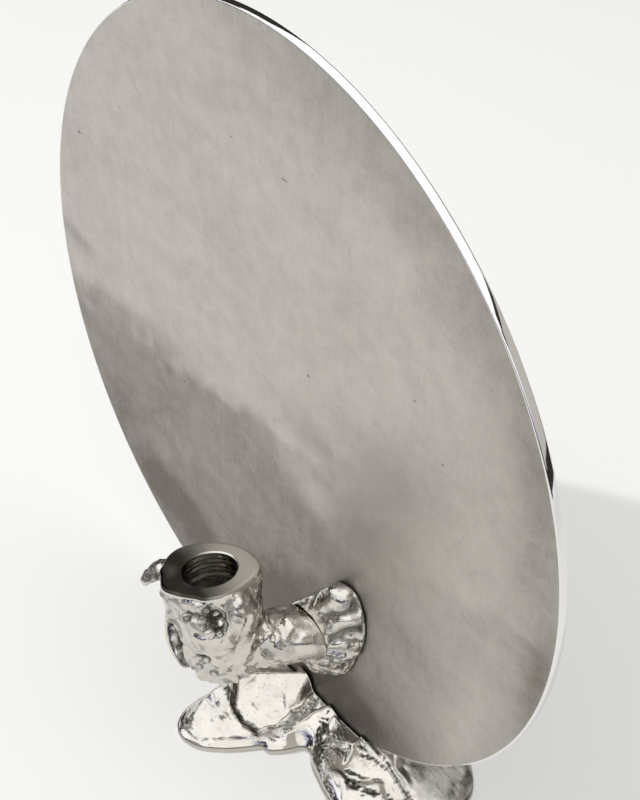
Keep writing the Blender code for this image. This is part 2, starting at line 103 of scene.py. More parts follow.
# The foot's tilted faces in front: x, y, height, slope along x and y, and size
FOOT_FACES = (
    (17.0, -20.0, 14.8, -0.74, 0.56, 8.5), (19.5, -9.0, 19.1, -0.74, 0.56, 5.4),
    (13.0, -27.0, 13.8, -0.72, 0.56, 4.6), (4.5, -34.5, 18.0, -0.45, 0.85, 4.0),
    (4.5, -44.5, 9.6, -0.31, 0.66, 5.0), (12.5, -38.5, 10.6, -0.50, 0.50, 5.0),
    (21.5, -35.5, 7.4, -0.45, 0.40, 3.5), (28.5, -26.5, 6.6, -0.38, 0.34, 4.0),
    (28.5, -5.5, 13.6, -0.10, 0.22, 3.8), (29.5, -12.0, 11.9, -0.10, 0.22, 3.8),
    (30.0, -18.5, 9.6, -0.15, 0.22, 3.4), (37.5, -12.5, 10.6, -0.50, 0.55, 5.2),
    (44.5, -4.6, 13.5, -0.50, 0.55, 1.7), (48.0, -16.5, 9.4, 0.40, 0.10, 4.0),
    (57.0, -13.5, 11.4, 0.0, 0.12, 4.5), (51.0, -3.6, 14.3, 0.05, 0.10, 4.2),
    (70.0, -7.0, 13.2, -0.14, 0.36, 8.0), (67.0, -22.0, 8.8, -0.10, 0.75, 4.0),
    (80.0, -15.0, 9.6, -0.20, 0.42, 6.0), (93.0, 10.0, 10.6, -0.07, -0.08, 10.0),
    (95.0, -14.0, 7.5, -0.20, 0.30, 7.0), (85.0, -3.5, 11.8, -0.20, 0.32, 5.0),
)
# The wall round the foot: share of the way down, how far set in
FOOT_WALL = (
    (0.2, 0.0), (0.34, 0.0), (0.40, 0.22), (0.48, 0.22), (0.54, 0.0), (0.8, 0.05), (0.93, 0.25),
    (1.0, 0.7),
)
# Rough places on the foot: x, y, half length, half width, turn, how rough
FOOT_CRAGS = (
    (8.0, -32.0, 4.0, 1.5, -12.0, 1.0), (13.0, -32.6, 3.6, 1.2, 10.0, 1.0),
    (20.0, -30.0, 5.0, 1.1, 26.0, 0.9), (27.5, -26.4, 3.0, 1.6, 30.0, 0.45),
    (0.0, -50.0, 2.4, 3.0, 40.0, 0.9), (5.8, -37.4, 1.0, 0.7, 30.0, 0.9),
    (29.6, -12.0, 2.6, 9.0, -6.0, 0.60), (42.0, -9.5, 2.2, 5.0, 30.0, 1.0),
    (47.5, -15.6, 3.2, 4.4, 35.0, 1.0), (52.0, -20.0, 5.5, 3.0, -40.0, 1.0),
    (60.0, -25.0, 7.0, 2.4, -8.0, 1.0), (54.5, -12.5, 3.6, 6.0, 30.0, 0.24),
    (61.5, -18.0, 4.5, 3.0, 15.0, 0.34), (62.5, -3.6, 2.6, 0.6, 10.0, 1.0),
    (66.0, -5.0, 2.2, 0.6, 24.0, 1.0), (68.0, -13.0, 3.6, 0.9, 26.0, 1.0),
    (73.0, -15.6, 5.0, 1.7, 4.0, 1.0), (80.0, -12.4, 4.0, 1.2, 34.0, 1.0),
    (88.0, -9.6, 4.4, 1.4, 4.0, 1.0), (72.0, -2.6, 5.0, 0.5, 12.0, 0.9),
    (83.0, -1.4, 10.0, 0.6, -8.0, 0.9), (77.0, -8.0, 3.0, 0.5, 30.0, 0.8),
    (49.0, -4.0, 6.0, 2.4, -25.0, 0.42), (52.0, -8.5, 3.0, 2.2, 20.0, 0.6),
    (10.5, -38.5, 1.0, 0.5, 40.0, 0.8), (15.0, -25.2, 1.4, 0.4, 20.0, 0.6),
    (22.0, -14.0, 1.6, 0.4, -30.0, 0.5),
)
# Metal that ran down the cup: turn about its axis, depth of its start and end, radius, inset
CUP_RUNS = (
    (-134, 4.0, 7.5, 3.4, 1.7), (-104, 15.0, 16.5, 2.0, 1.0), (-66, 12.5, 17.5, 2.8, 1.5),
    (-58, 20.0, 23.5, 2.8, 1.4), (-92, 34.0, 37.5, 3.0, 1.4), (-142, 24.0, 34.0, 6.0, 4.0),
    (-10, 8.0, 16.0, 2.6, 2.0), (15, 13.0, 31.0, 5.2, 2.6), (-74, 42.5, 45.0, 2.4, 1.1),
    (-40, 3.5, 10.0, 2.6, 1.6), (40, 6.0, 24.0, 3.0, 2.0),
)
# Beads and pits on the cup: turn, depth, radius, height (below zero for a pit)
CUP_BEADS = (
    (-33, 9.5, 5.0, -2.2), (-32, 14.5, 4.8, -2.1), (-38, 5.0, 2.6, -1.0), (-61, 33.0, 3.6, -1.0),
    (-114, 7.0, 1.5, 0.9), (-65, 10.6, 1.3, 0.9), (-39, 5.6, 2.0, 1.9), (-45, 8.6, 1.4, 1.3),
    (-29, 8.6, 1.2, 1.0), (-26, 13.6, 1.3, 1.1), (-40, 16.8, 2.5, 3.2), (-29, 17.5, 1.5, 1.6),
    (-46, 12.5, 1.1, 0.9), (-65, 33.0, 1.7, 1.7), (-56, 34.0, 1.6, 1.5), (-97, 34.0, 1.5, 1.2),
    (-70, 38.0, 1.4, 0.9), (-108, 30.0, 1.3, 0.9), (-88, 41.0, 1.2, 0.8), (-48, 41.0, 1.6, 0.8),
    (60, 12.0, 1.8, 0.9), (120, 16.0, 2.0, 1.0), (165, 22.0, 2.2, 1.1), (150, 36.0, 2.6, 1.3),
    (-170, 14.0, 1.6, 0.9),
)
# The horn's line: turn about the cup's axis, distance from it and depth; and its radii
HORN_LINE = ((-160, 13.0, 6.4), (-156, 22.0, 5.4), (-147, 26.5, 5.6), (-140, 29.0, 9.6))
HORN_RADII = (5.0, 5.0, 4.3, 3.1, 1.8)
# The hollow drip's line: turn about the cup's axis, depth and inset; its radii and its open side
SHELL_LINE = ((-146, 23.0, 0.6), (-146, 30.0, -5.0), (-124, 40.0, -6.0), (-100, 43.0, -0.6))
SHELL_RADII, SHELL_SIDE = (2.6, 3.9, 4.2, 3.4, 2.4), -128
# Folds round the collar: degrees about the arm's root, height
COLLAR_FOLDS = (
    (120, 0.8), (106, -1.0), (94, 0.4), (80, 0.7), (71, 0.5), (62, -1.2), (54, 0.8), (45, 0.5),
    (34, -1.2), (20, 0.4), (4, -0.6), (-14, 0.7), (-34, -0.6), (-60, 0.6), (-90, -0.5), (-120, 0.6),
    (-150, -0.6), (180, 0.5), (150, -0.7),
)
# Beads and pits on the collar: place, radius, height (below zero for a pit)
COLLAR_BEADS = (
    ((45.1, -11.5, 84.5), 1.7, 1.2), ((48.8, -10.2, 83.0), 1.3, 0.9),
    ((42.6, -11.8, 82.4), 1.2, -0.8), ((52.0, -9.0, 64.0), 2.0, 1.1),
    ((47.0, -11.0, 60.0), 1.8, -1.0),
)
# Painted shade and painted reflections on the disc, lighter where below zero:
# x, z, half width, half height, turn, how much darker
DISC_PAINTED_PATCHES = (
    (-148.0, 158.0, 16.0, 4.0, -12.0, 0.35), (-88.0, 52.0, 15.0, 8.0, -8.0, 0.85),
    (8.0, 58.0, 26.0, 18.0, 20.0, 0.40), (55.0, 176.0, 34.0, 11.0, -14.0, 0.14),
    (45.0, 28.0, 42.0, 14.0, 0.0, 0.55), (155.0, 140.0, 7.0, 40.0, -8.0, 0.45),
    (84.0, 60.0, 16.0, 26.0, -10.0, 0.04), (118.0, 74.0, 10.0, 44.0, -16.0, -0.22),
    (30.0, 128.0, 34.0, 7.0, -10.0, -0.14), (-112.0, 152.0, 24.0, 4.0, -6.0, -0.10),
    (25.0, 156.0, 20.0, 9.0, -8.0, 0.30), (142.0, 222.0, 9.0, 30.0, 12.0, 0.16),
    (-62.0, 46.0, 20.0, 12.0, -20.0, 0.34), (-84.0, 140.0, 22.0, 7.0, -8.0, 0.22),
    (-120.0, 82.0, 16.0, 22.0, -20.0, 0.22), (-86.0, 104.0, 18.0, 12.0, 0.0, 0.14),
    (42.0, 126.0, 30.0, 16.0, -20.0, -0.60), (146.0, 180.0, 12.0, 56.0, 0.0, 0.24),
    (86.0, 96.0, 20.0, 12.0, -20.0, 0.20), (104.0, 142.0, 14.0, 12.0, -20.0, -0.12),
    (76.0, 285.0, 16.0, 10.0, 40.0, 0.18),
)
# Pits on the disc: x, z, half width, half height
DISC_PITS = (
    (-137.0, 216.2, 1.9, 0.8), (21.3, 186.5, 1.2, 1.0), (7.9, 265.7, 2.6, 0.5),
    (-24.0, 268.0, 0.8, 0.6), (82.0, 214.0, 1.0, 0.6), (-66.0, 128.0, 0.9, 0.7),
    (98.0, 196.0, 0.7, 0.9), (-102.0, 244.0, 0.7, 0.5),
)
# The lamps, in metres
SOFTBOX_PLACE, SOFTBOX_TARGET = (0.0, -0.15, 1.35), (0.0, -0.15, 0.0)
KEY_WAY, KEY_DISTANCE, KEY_TARGET = (-0.53, -0.765, 1.08), 4.4, (0.0, 0.0, 0.08)
# Cards that only the metal mirrors: headings from and to, lower and upper height, radius of the
# lower and of the upper ring in metres, colour of the glow
CARDS = {
    "dark_card": ((-180.0, 180.0), (0.0, 2.26), (1.9, 1.9), (0.036, 0.032, 0.028)),
    "white_card": ((-166.0, -70.0), (0.53, 0.92), (1.8, 1.8), (1.55, 1.6, 1.66)),
    "cream_card": ((-166.0, -52.0), (1.08, 1.62), (1.79, 1.79), (1.36, 1.365, 1.36)),
    "blue_card": ((-140.0, -22.0), (0.37, 0.52), (1.8, 1.8), (0.64, 0.67, 0.98)),
    "front_card": ((-70.0, -22.0), (0.54, 1.62), (1.79, 1.79), (1.24, 1.23, 1.21)),
    "side_card": ((-22.0, 80.0), (0.25, 1.30), (1.8, 1.8), (0.58, 0.55, 0.51)),
    "ceiling_card": ((0.0, 360.0), (1.34, 1.34), (1.6, 0.0), (1.36, 1.365, 1.36)),
}


def mm(value):
    """Metres, as the sizes are kept, to millimetres, in which the shapes are worked out."""
    return value / MM


class HolderSizes(bpy.types.PropertyGroup):
    """Sizes of the pieces"""
    disc_radius: FloatProperty(
        name="Disc radius", description="Radius of the reflector disc", default=0.160,
        min=0.05, unit="LENGTH")
    disc_thickness: FloatProperty(
        name="Disc thickness", description="Thickness of the reflector disc", default=0.0038,
        min=0.001, unit="LENGTH")
    disc_flat: FloatProperty(
        name="Half flat", description="Half the width of the flat that the disc stands on",
        default=0.059, min=0.01, unit="LENGTH")
    edge_round: FloatProperty(
        name="Disc edge", description="How far the disc's polished edge is rounded",
        default=0.0009, min=0.0001, unit="LENGTH")
    foot_radius: FloatProperty(
        name="Foot radius", description="Reach of the foot's longest lobes, about",
        default=0.070, min=0.02, unit="LENGTH")
    foot_band: FloatProperty(
        name="Foot edge", description="Height of the upright wall round the foot",
        default=0.0034, min=0.001, unit="LENGTH")
    arm_radius: FloatProperty(
        name="Arm radius", description="Radius of the arm", default=0.0118,
        min=0.004, unit="LENGTH")
    collar_depth: FloatProperty(
        name="Collar depth", description="From the disc to the seam between collar and arm",
        default=0.012, min=0.004, unit="LENGTH")
    collar_half_height: FloatProperty(
        name="Collar half height", description="Half the collar's longer side on the disc",
        default=0.033, min=0.01, unit="LENGTH")
    collar_half_width: FloatProperty(
        name="Collar half width", description="Half the collar's shorter side on the disc",
        default=0.0146, min=0.01, unit="LENGTH")
    rim_radius: FloatProperty(
        name="Rim radius", description="Mean radius of the cup's flat rim", default=0.0192,
        min=0.013, unit="LENGTH")
    cup_radius: FloatProperty(
        name="Cup radius", description="Radius of the cup below its rim", default=0.019,
        min=0.013, unit="LENGTH")
    stem_radius: FloatProperty(
        name="Cup foot radius", description="Radius of the cup where it has passed the arm",
        default=0.0126, min=0.006, unit="LENGTH")
    cup_length: FloatProperty(
        name="Cup length", description="From the rim to the cup's lower end", default=0.056,
        min=0.03, unit="LENGTH")
    bore_radius: FloatProperty(
        name="Bore radius", description="Radius of the candle's bore", default=0.011,
        min=0.004, unit="LENGTH")
    bore_depth: FloatProperty(
        name="Bore depth", description="Depth of the candle's bore", default=0.024,
        min=0.004, unit="LENGTH")
    relief: FloatProperty(
        name="Casting relief", description="How strongly the cast surfaces wander",
        default=1.0, min=0.0, max=1.5, subtype="FACTOR")


class HolderFinish(bpy.types.PropertyGroup):
    """Colours of the metals"""
    nickel: FloatVectorProperty(
        name="Polished casting", description="Colour of the polished castings",
        default=(0.70, 0.665, 0.615), min=0.0, max=1.0, size=3, subtype="COLOR")
    # The hollow colour is oxide in the castings' hollows, and also their painted shade and painted
    # reflections
    hollow: FloatVectorProperty(
        name="Casting hollows", description="Colour in the castings' creases and pits",
        default=(0.046, 0.040, 0.033), min=0.0, max=1.0, size=3, subtype="COLOR")
    satin: FloatVectorProperty(
        name="Satin disc", description="Colour of the disc's satin faces",
        default=(0.575, 0.543, 0.505), min=0.0, max=1.0, size=3, subtype="COLOR")
    # Colour of the disc's random mottle and of its painted shade and painted reflections
    mottle_and_painted_shade: FloatVectorProperty(
        name="Disc shade", description="Colour of the darker clouds on the disc",
        default=(0.165, 0.145, 0.122), min=0.0, max=1.0, size=3, subtype="COLOR")
    edge: FloatVectorProperty(
        name="Disc edge", description="Colour of the disc's polished edge",
        default=(0.82, 0.81, 0.80), min=0.0, max=1.0, size=3, subtype="COLOR")
    steel: FloatVectorProperty(
        name="Fasteners", description="Colour of the screws and washers",
        default=(0.56, 0.56, 0.55), min=0.0, max=1.0, size=3, subtype="COLOR")
    stain: FloatVectorProperty(
        name="Fastener stains", description="Colour of the small stains on screws and washers",
        default=(0.30, 0.29, 0.27), min=0.0, max=1.0, size=3, subtype="COLOR")


class HolderStage(bpy.types.PropertyGroup):
    """Floor, light and camera"""
    floor: FloatVectorProperty(
        name="Floor", description="Colour of the floor", default=(0.90, 0.90, 0.885),
        min=0.0, max=1.0, size=3, subtype="COLOR")
    floor_size: FloatProperty(
        name="Floor size", description="Half the floor's side", default=2.2, min=0.5,
        unit="LENGTH")
    surround: FloatProperty(
        name="Room light", description="Strength of the even light from all round",
        default=0.18, min=0.0)
    softbox: FloatProperty(
        name="Soft box", description="Brightness of the soft box overhead", default=1.17, min=0.0)
    softbox_size: FloatProperty(
        name="Soft box size", description="Side of the soft box overhead", default=2.4,
        min=0.1, unit="LENGTH")
    key_power: FloatProperty(
        name="Key lamp", description="Power of the key lamp", default=86.0, min=0.0,
        unit="POWER")
    key_size: FloatProperty(
        name="Key lamp size", description="Side of the key lamp", default=0.12, min=0.02,
        unit="LENGTH")
    lens: FloatProperty(
        name="Lens", description="Focal length of the camera, in millimetres on a 36 mm frame",
        default=101.25, min=10.0)
    azimuth: FloatProperty(
        name="Camera turn", description="Turn of the camera about the upright",
        default=math.radians(52.672), subtype="ANGLE")
    elevation: FloatProperty(
        name="Camera height angle", description="How steeply the camera looks down",
        default=math.radians(39.352), subtype="ANGLE")
    place: FloatVectorProperty(
        name="Camera place", description="Where the camera stands",
        default=(0.44154, -0.31483, 0.60551), size=3, subtype="TRANSLATION", unit="LENGTH")


# Helpers for shapes


def unit(v):
    """Vectors brought to length 1."""
    return v / np.linalg.norm(v, axis=-1, keepdims=True)


def circle(columns):
    """Angles evenly round a circle, one per column."""
    return np.arange(columns) * 2.0 * math.pi / columns


def smooth(t):
    """Smooth step: 3t² - 2t³ between 0 and 1."""
    t = np.clip(t, 0.0, 1.0)
    return t * t * (3.0 - 2.0 * t)


def window(value, start, rise, end, fall):
    """A smooth step up from the start over one width, times one down to the end over another."""
    return smooth((value - start) / rise) * smooth((end - value) / fall)


def wrapped(table, angle, curve=False):
    """A closed table of (degrees, value) read at each angle.

    Between rows it takes a smooth step, or a cubic through the rows whose slopes are those between
    each row's neighbours.
    """
    rows = sorted(table)
    x = np.array([r[0] for r in rows] + [rows[0][0] + 360.0], float)
    y = np.array([r[1] for r in rows] + [rows[0][1]], float)
    deg = (np.degrees(angle) - x[0]) % 360.0 + x[0]
    i = np.clip(np.searchsorted(x, deg, side="right") - 1, 0, len(x) - 2)
    if curve:
        xx = np.concatenate([[x[-2] - 360.0], x, [x[1] + 360.0]])
        yy = np.concatenate([[y[-2]], y, [y[1]]])
        slope = (yy[2:] - yy[:-2]) / (xx[2:] - xx[:-2])
        run = x[i + 1] - x[i]
        t = (deg - x[i]) / run
        return ((2 * t ** 3 - 3 * t ** 2 + 1) * y[i] + (t ** 3 - 2 * t ** 2 + t) * run * slope[i]
                + (3 * t ** 2 - 2 * t ** 3) * y[i + 1] + (t ** 3 - t ** 2) * run * slope[i + 1])
    return y[i] + (y[i + 1] - y[i]) * smooth((deg - x[i]) / (x[i + 1] - x[i]))


def waves(points, size, seed, count=18):
    """Smooth noise of about -1 to 1: a sum of sines along directions drawn from the seed.

    The sines' lengths lie between 0.65 and 1.5 times the size.
    """
    draw = np.random.default_rng(seed)
    way = unit(draw.normal(size=(count, 3)))
    way *= (2.0 * math.pi / (size * draw.uniform(0.65, 1.5, count)))[:, None]
    turn = draw.uniform(0.0, 2.0 * math.pi, count)
    flat = points.reshape(-1, 3)
    return (np.sin(flat @ way.T + turn).sum(1) / math.sqrt(count)).reshape(points.shape[:-1])


def drifted(points, size, amount, seed):
    """The points pushed about by three sets of waves, so that noise read there flows and folds."""
    push = np.stack([waves(points, size, seed + i) for i in range(3)], -1)
    return points + push * amount


def melt(a, b, width):
    """Smooth union of two distances: their minimum, rounded over the given width."""
    h = np.clip(0.5 + 0.5 * (b - a) / width, 0.0, 1.0)
    return b * (1.0 - h) + a * h - width * h * (1.0 - h)


def rod(points, a, b, radius):
    """Distance to a rod with round ends: distance to the line from a to b, less the radius."""
    run = b - a
    t = np.clip(((points - a) @ run) / (run @ run), 0.0, 1.0)
    return np.linalg.norm(points - a - t[..., None] * run, axis=-1) - radius


def dome(distance, radius):
    """1 at a bead's middle, falling to 0 at its radius as a hemisphere does."""
    return np.sqrt(np.clip(1.0 - (distance / radius) ** 2, 0.0, 1.0))


def line_mark(distance, width):
    """1 on a line, falling to 0 beside it as a bell of the given width."""
    return np.exp(-(distance / width) ** 2)


def turned(x, y, degrees):
    """A step in x and y as seen from axes turned by an angle."""
    c, s = math.cos(math.radians(degrees)), math.sin(math.radians(degrees))
    return x * c + y * s, y * c - x * s


def joined(parts, values):
    """One value for each point of several grids of rows in turn, spread over each grid."""
    return np.concatenate([np.broadcast_to(v, p.shape[:2]) for p, v in zip(parts, values)])


def grid_normals(rows):
    """Unit normals of a grid closed round its columns: cross product of its two differences."""
    along = np.gradient(rows, axis=0)
    across = np.roll(rows, -1, 1) - np.roll(rows, 1, 1)
    normal = np.cross(across, along)
    normal /= np.maximum(np.linalg.norm(normal, axis=-1, keepdims=True), 1e-12)
    middle = rows.mean(axis=1, keepdims=True)
    if (normal * (rows - middle)).sum(-1).mean() < 0:
        normal = -normal
    return normal


def skin(name, rows, marks):
    """A closed mesh from a grid of rows in millimetres.

    Each row closes on itself, the first and the last end in a point at their middle, and the
    faces are turned outwards by the sign of the enclosed volume. Marks are values per grid point
    that become attributes for the material.
    """
    count, around = rows.shape[:2]
    body = count * around
    points = np.concatenate([rows.reshape(-1, 3), rows[:1].mean(1), rows[-1:].mean(1)])
    i = (np.arange(count - 1) * around)[:, None]
    j = np.arange(around)[None, :]
    k = (j + 1) % around
    quads = np.stack([i + j, i + k, i + around + k, i + around + j], -1).reshape(-1, 4)
    j, k = j[0], k[0]
    first = np.stack([np.full(around, body), k, j], -1)
    last = np.stack([np.full(around, body + 1), body - around + j, body - around + k], -1)
    a, b, c = points[quads[:, 0]], points[quads[:, 1]], points[quads[:, 2]]
    d = points[quads[:, 3]]
    origin = points.mean(0)
    volume = (np.cross(b - origin, c - origin) * (a - origin)).sum()
    volume += (np.cross(c - origin, d - origin) * (a - origin)).sum()
    if volume < 0:
        quads, first, last = quads[:, ::-1], first[:, ::-1], last[:, ::-1]
    loops = np.concatenate([quads.ravel(), first.ravel(), last.ravel()])
    sizes = np.concatenate([np.full(len(quads), 4), np.full(2 * around, 3)])
    starts = np.concatenate([[0], np.cumsum(sizes)[:-1]])
    mesh = bpy.data.meshes.new(name)
    mesh.vertices.add(len(points))
    mesh.vertices.foreach_set("co", (points * MM).ravel())
    mesh.loops.add(len(loops))
    mesh.loops.foreach_set("vertex_index", loops.astype(np.int32))
    mesh.polygons.add(len(sizes))
    mesh.polygons.foreach_set("loop_start", starts.astype(np.int32))
    mesh.update(calc_edges=True)
    mesh.shade_smooth()
    for key, values in marks.items():
        layer = mesh.attributes.new(key, "FLOAT", "POINT")
        full = np.concatenate([values.ravel(), [values[0].mean(), values[-1].mean()]])
        layer.data.foreach_set("value", full.astype(np.float32))
    obj = bpy.data.objects.new(name, mesh)
    bpy.context.scene.collection.objects.link(obj)
    return obj


def place_piece(obj, material, slot, *nodes):
    """Give a piece its material, let it ride on the one body and hide the CAD nodes it stands for."""
    obj.data.materials.append(material)
    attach(obj, "root")
    if nodes:
        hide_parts(*nodes)


# Materials


class Tree:
    """The nodes of a material or a world, added one after another."""

    def __init__(self, owner, output):
        owner.use_nodes = True
        self.owner = owner
        self.nodes = owner.node_tree.nodes
        self.links = owner.node_tree.links
        self.nodes.clear()
        self.output = self.nodes.new(output)

    def add(self, kind, inputs=None, **values):
        """A new node. Inputs are sockets to link or plain values, by name or number."""
        node = self.nodes.new("ShaderNode" + kind)
        for key, value in values.items():
            setattr(node, key, value)
        for key, value in (inputs or {}).items():
            if isinstance(value, bpy.types.NodeSocket):
                self.links.new(value, node.inputs[key])
            else:
                node.inputs[key].default_value = value
        return node

    def close(self, shader):
        """Link the finished shader, and give back the material or world."""
        self.links.new(shader.outputs[0], self.output.inputs[0])
        return self.owner

    def mark(self, name):
        """A value that the mesh carries at each point."""
        return self.add("Attribute", attribute_name=name).outputs["Fac"]

    def place(self, scale=(1.0, 1.0, 1.0), turn=(0.0, 0.0, 0.0)):
        """Object coordinates, stretched and turned."""
        at = self.add("TexCoord").outputs["Object"]
        return self.add("Mapping", {"Vector": at, "Scale": scale, "Rotation": turn}).outputs[0]

    def noise(self, at, scale, detail, rough, drift=0.0):
        return self.add("TexNoise", {"Vector": at, "Scale": scale, "Detail": detail,
                                     "Roughness": rough, "Distortion": drift}).outputs["Fac"]

    def ranged(self, value, low, high, to_low, to_high):
        """The value carried from one range to another with a smooth step, and clamped."""
        return self.add("MapRange", {"Value": value, "From Min": low, "From Max": high,
                                     "To Min": to_low, "To Max": to_high},
                        interpolation_type="SMOOTHSTEP").outputs["Result"]

    def math(self, operation, a, b):
        return self.add("Math", {0: a, 1: b}, operation=operation).outputs[0]

    def plus(self, a, b):
        return self.math("ADD", a, b)

    def times(self, a, b):
        return self.math("MULTIPLY", a, b)

    def vector(self, operation, a, b):
        return self.add("VectorMath", {0: a, 1: b}, operation=operation).outputs[0]

    def length(self, a):
        return self.add("VectorMath", {0: a}, operation="LENGTH").outputs["Value"]

    def mix(self, share, a, b):
        """Two colours, plain or sockets, mixed by a share."""
        a, b = (c if isinstance(c, bpy.types.NodeSocket) else (*c, 1.0) for c in (a, b))
        return self.add("Mix", {0: share, 6: a, 7: b}, data_type="RGBA").outputs[2]

    def bump(self, height, distance, strength):
        return self.add("Bump", {"Height": height, "Distance": distance,
                                 "Strength": strength}).outputs["Normal"]

    def metal(self, colour, roughness, normal):
        """Close the tree with a metal shader."""
        return self.close(self.add("BsdfPrincipled", {
            "Base Color": colour, "Roughness": roughness, "Metallic": 1.0, "Normal": normal}))

    def seen(self):
        """1 for camera, mirrored and transmitted rays, 0 for the rays that light surfaces."""
        path = self.add("LightPath").outputs
        both = self.plus(path["Is Camera Ray"], path["Is Glossy Ray"])
        return self.math("MINIMUM", self.plus(both, path["Is Transmission Ray"]), 1.0)


def material_tree(name):
    """The empty tree of a material, which is made if there is none of that name."""
    return Tree(bpy.data.materials.get(name) or bpy.data.materials.new(name),
                "ShaderNodeOutputMaterial")


def polished_casting(finish):
    """Bright plated casting: a mirror polish with fine ripples and a little wear.

    Places marked oxide_and_shade are dark, grainy and rough, as oxide in hollows and as painted
    shade, and clean ones have no ripples, grain or wear.
    Brushed ones are scratched and stained, and soft ones a little duller, with specks.
    """
    tree = material_tree("polished_casting")
    at = tree.place()
    oxide_and_shade, clean, brushed, soft = (tree.mark(m) for m in ("oxide_and_shade", "clean", "brushed", "soft"))
    wild = tree.math("SUBTRACT", 1.0, clean)
    broad = tree.noise(at, 95.0, 3.0, 0.55, 0.6)
    ripple = tree.noise(at, 300.0, 3.0, 0.5, 0.7)
    grain = tree.noise(at, 1500.0, 3.0, 0.6)
    crag = tree.noise(at, 820.0, 3.0, 0.6, 0.5)
    scratch = tree.noise(tree.place((50.0, 1500.0, 900.0), (0.0, 0.0, -0.28)), 1.0, 6.0, 0.75)
    stain = tree.noise(at, 60.0, 4.0, 0.6, 0.6)
    specks = tree.ranged(tree.noise(at, 900.0, 3.0, 0.6), 0.60, 0.70, 0.0, 0.45)

    speckle = tree.math("MAXIMUM", tree.ranged(grain, 0.30, 0.66, 0.72, 1.0), clean)
    # Oxide and painted shade where the mesh marks them
    dark = tree.times(oxide_and_shade, speckle)
    worn = tree.times(tree.ranged(broad, 0.35, 0.72, 0.0, 0.22), wild)
    dull = tree.plus(tree.ranged(scratch, 0.35, 0.68, 0.0, 0.30),
                     tree.ranged(stain, 0.42, 0.66, 0.0, 0.45))
    shade = tree.math("MINIMUM", tree.plus(dark, worn), 1.0)
    shade = tree.plus(shade, tree.times(tree.plus(dull, 0.26), brushed))
    shade = tree.math("MINIMUM", tree.plus(shade, tree.times(specks, soft)), 1.0)
    colour = tree.mix(shade, finish.nickel, finish.hollow)

    rough = tree.ranged(ripple, 0.3, 0.7, 0.06, 0.13)
    for where, share in ((tree.times(dark, wild), 0.30), (brushed, 0.28), (soft, 0.09)):
        rough = tree.plus(rough, tree.times(where, share))

    height = tree.times(tree.plus(tree.times(ripple, 0.35), tree.times(grain, 0.10)), wild)
    height = tree.plus(height, tree.times(tree.times(scratch, brushed), 0.10))
    height = tree.plus(height, tree.times(tree.times(tree.times(crag, oxide_and_shade), wild), 3.0))
    return tree.metal(colour, rough, tree.bump(height, 0.0009, 0.30))


def satin_disc(finish):
    """Satin plate with a polished edge.

    The satin has fine upright brushing, soft clouds, mottle, specks and a few pits, and is darker
    where the mesh carries painted shade and painted reflections.
    """
    tree = material_tree("satin_disc")
    at = tree.place()
    # The mesh's shade mark is painted shade and painted reflection; random mottle and pits are added
    # to it
    polished, low = tree.mark("polished"), tree.mark("shade")
    streaks = tree.noise(tree.place((900.0, 900.0, 26.0)), 1.0, 4.0, 0.6)
    fine = tree.noise(tree.place((2600.0, 2600.0, 60.0)), 1.0, 2.0, 0.6)
    clouds = tree.noise(tree.place((1.0, 1.0, 1.6), (0.0, 0.35, 0.0)), 16.0, 5.0, 0.6, 0.9)
    mottle = tree.noise(at, 110.0, 5.0, 0.62, 0.4)
    speck = tree.noise(at, 520.0, 4.0, 0.7)

    shade = low
    for value, start, stop, most in ((clouds, 0.36, 0.70, 0.12), (mottle, 0.34, 0.72, 0.085),
                                     (streaks, 0.3, 0.7, 0.02), (speck, 0.36, 0.74, 0.10)):
        shade = tree.plus(shade, tree.ranged(value, start, stop, 0.0, most))
    for x, z, wide, tall in DISC_PITS:
        away = tree.vector("ADD", at, (-x * MM, 0.0, -z * MM))
        away = tree.length(tree.vector("MULTIPLY", away, (1 / wide, 0.0, 1 / tall)))
        shade = tree.plus(shade, tree.ranged(away, 0.4 * MM, 1.0 * MM, 0.7, 0.0))
    face = tree.mix(tree.math("MINIMUM", shade, 1.0), finish.satin, finish.mottle_and_painted_shade)
    colour = tree.mix(polished, face, finish.edge)

    satin = tree.plus(tree.ranged(mottle, 0.3, 0.7, 0.38, 0.46),
                      tree.ranged(streaks, 0.3, 0.7, 0.0, 0.05))
    rough = tree.add("MapRange", {"Value": polished, "From Min": 0.0, "From Max": 1.0,
                                  "To Min": satin, "To Max": 0.05}).outputs["Result"]
    height = tree.plus(tree.times(streaks, 0.6), fine)
    height = tree.times(height, tree.math("SUBTRACT", 1.0, polished))
    return tree.metal(colour, rough, tree.bump(height, 0.00003, 0.4))


def fastener_steel(finish):
    """Plain steel with turning marks and small stains."""
    tree = material_tree("fastener_steel_finish")
    rings = tree.noise(tree.place((300.0, 5200.0, 300.0)), 1.0, 2.0, 0.6)
    stain = tree.noise(tree.place(), 700.0, 4.0, 0.6)
    colour = tree.mix(tree.ranged(stain, 0.4, 0.75, 0.0, 0.5), finish.steel, finish.stain)
    rough = tree.plus(tree.ranged(stain, 0.3, 0.7, 0.20, 0.34),
                      tree.ranged(rings, 0.3, 0.7, 0.0, 0.06))
    return tree.metal(colour, rough, tree.bump(rings, 0.00005, 0.5))


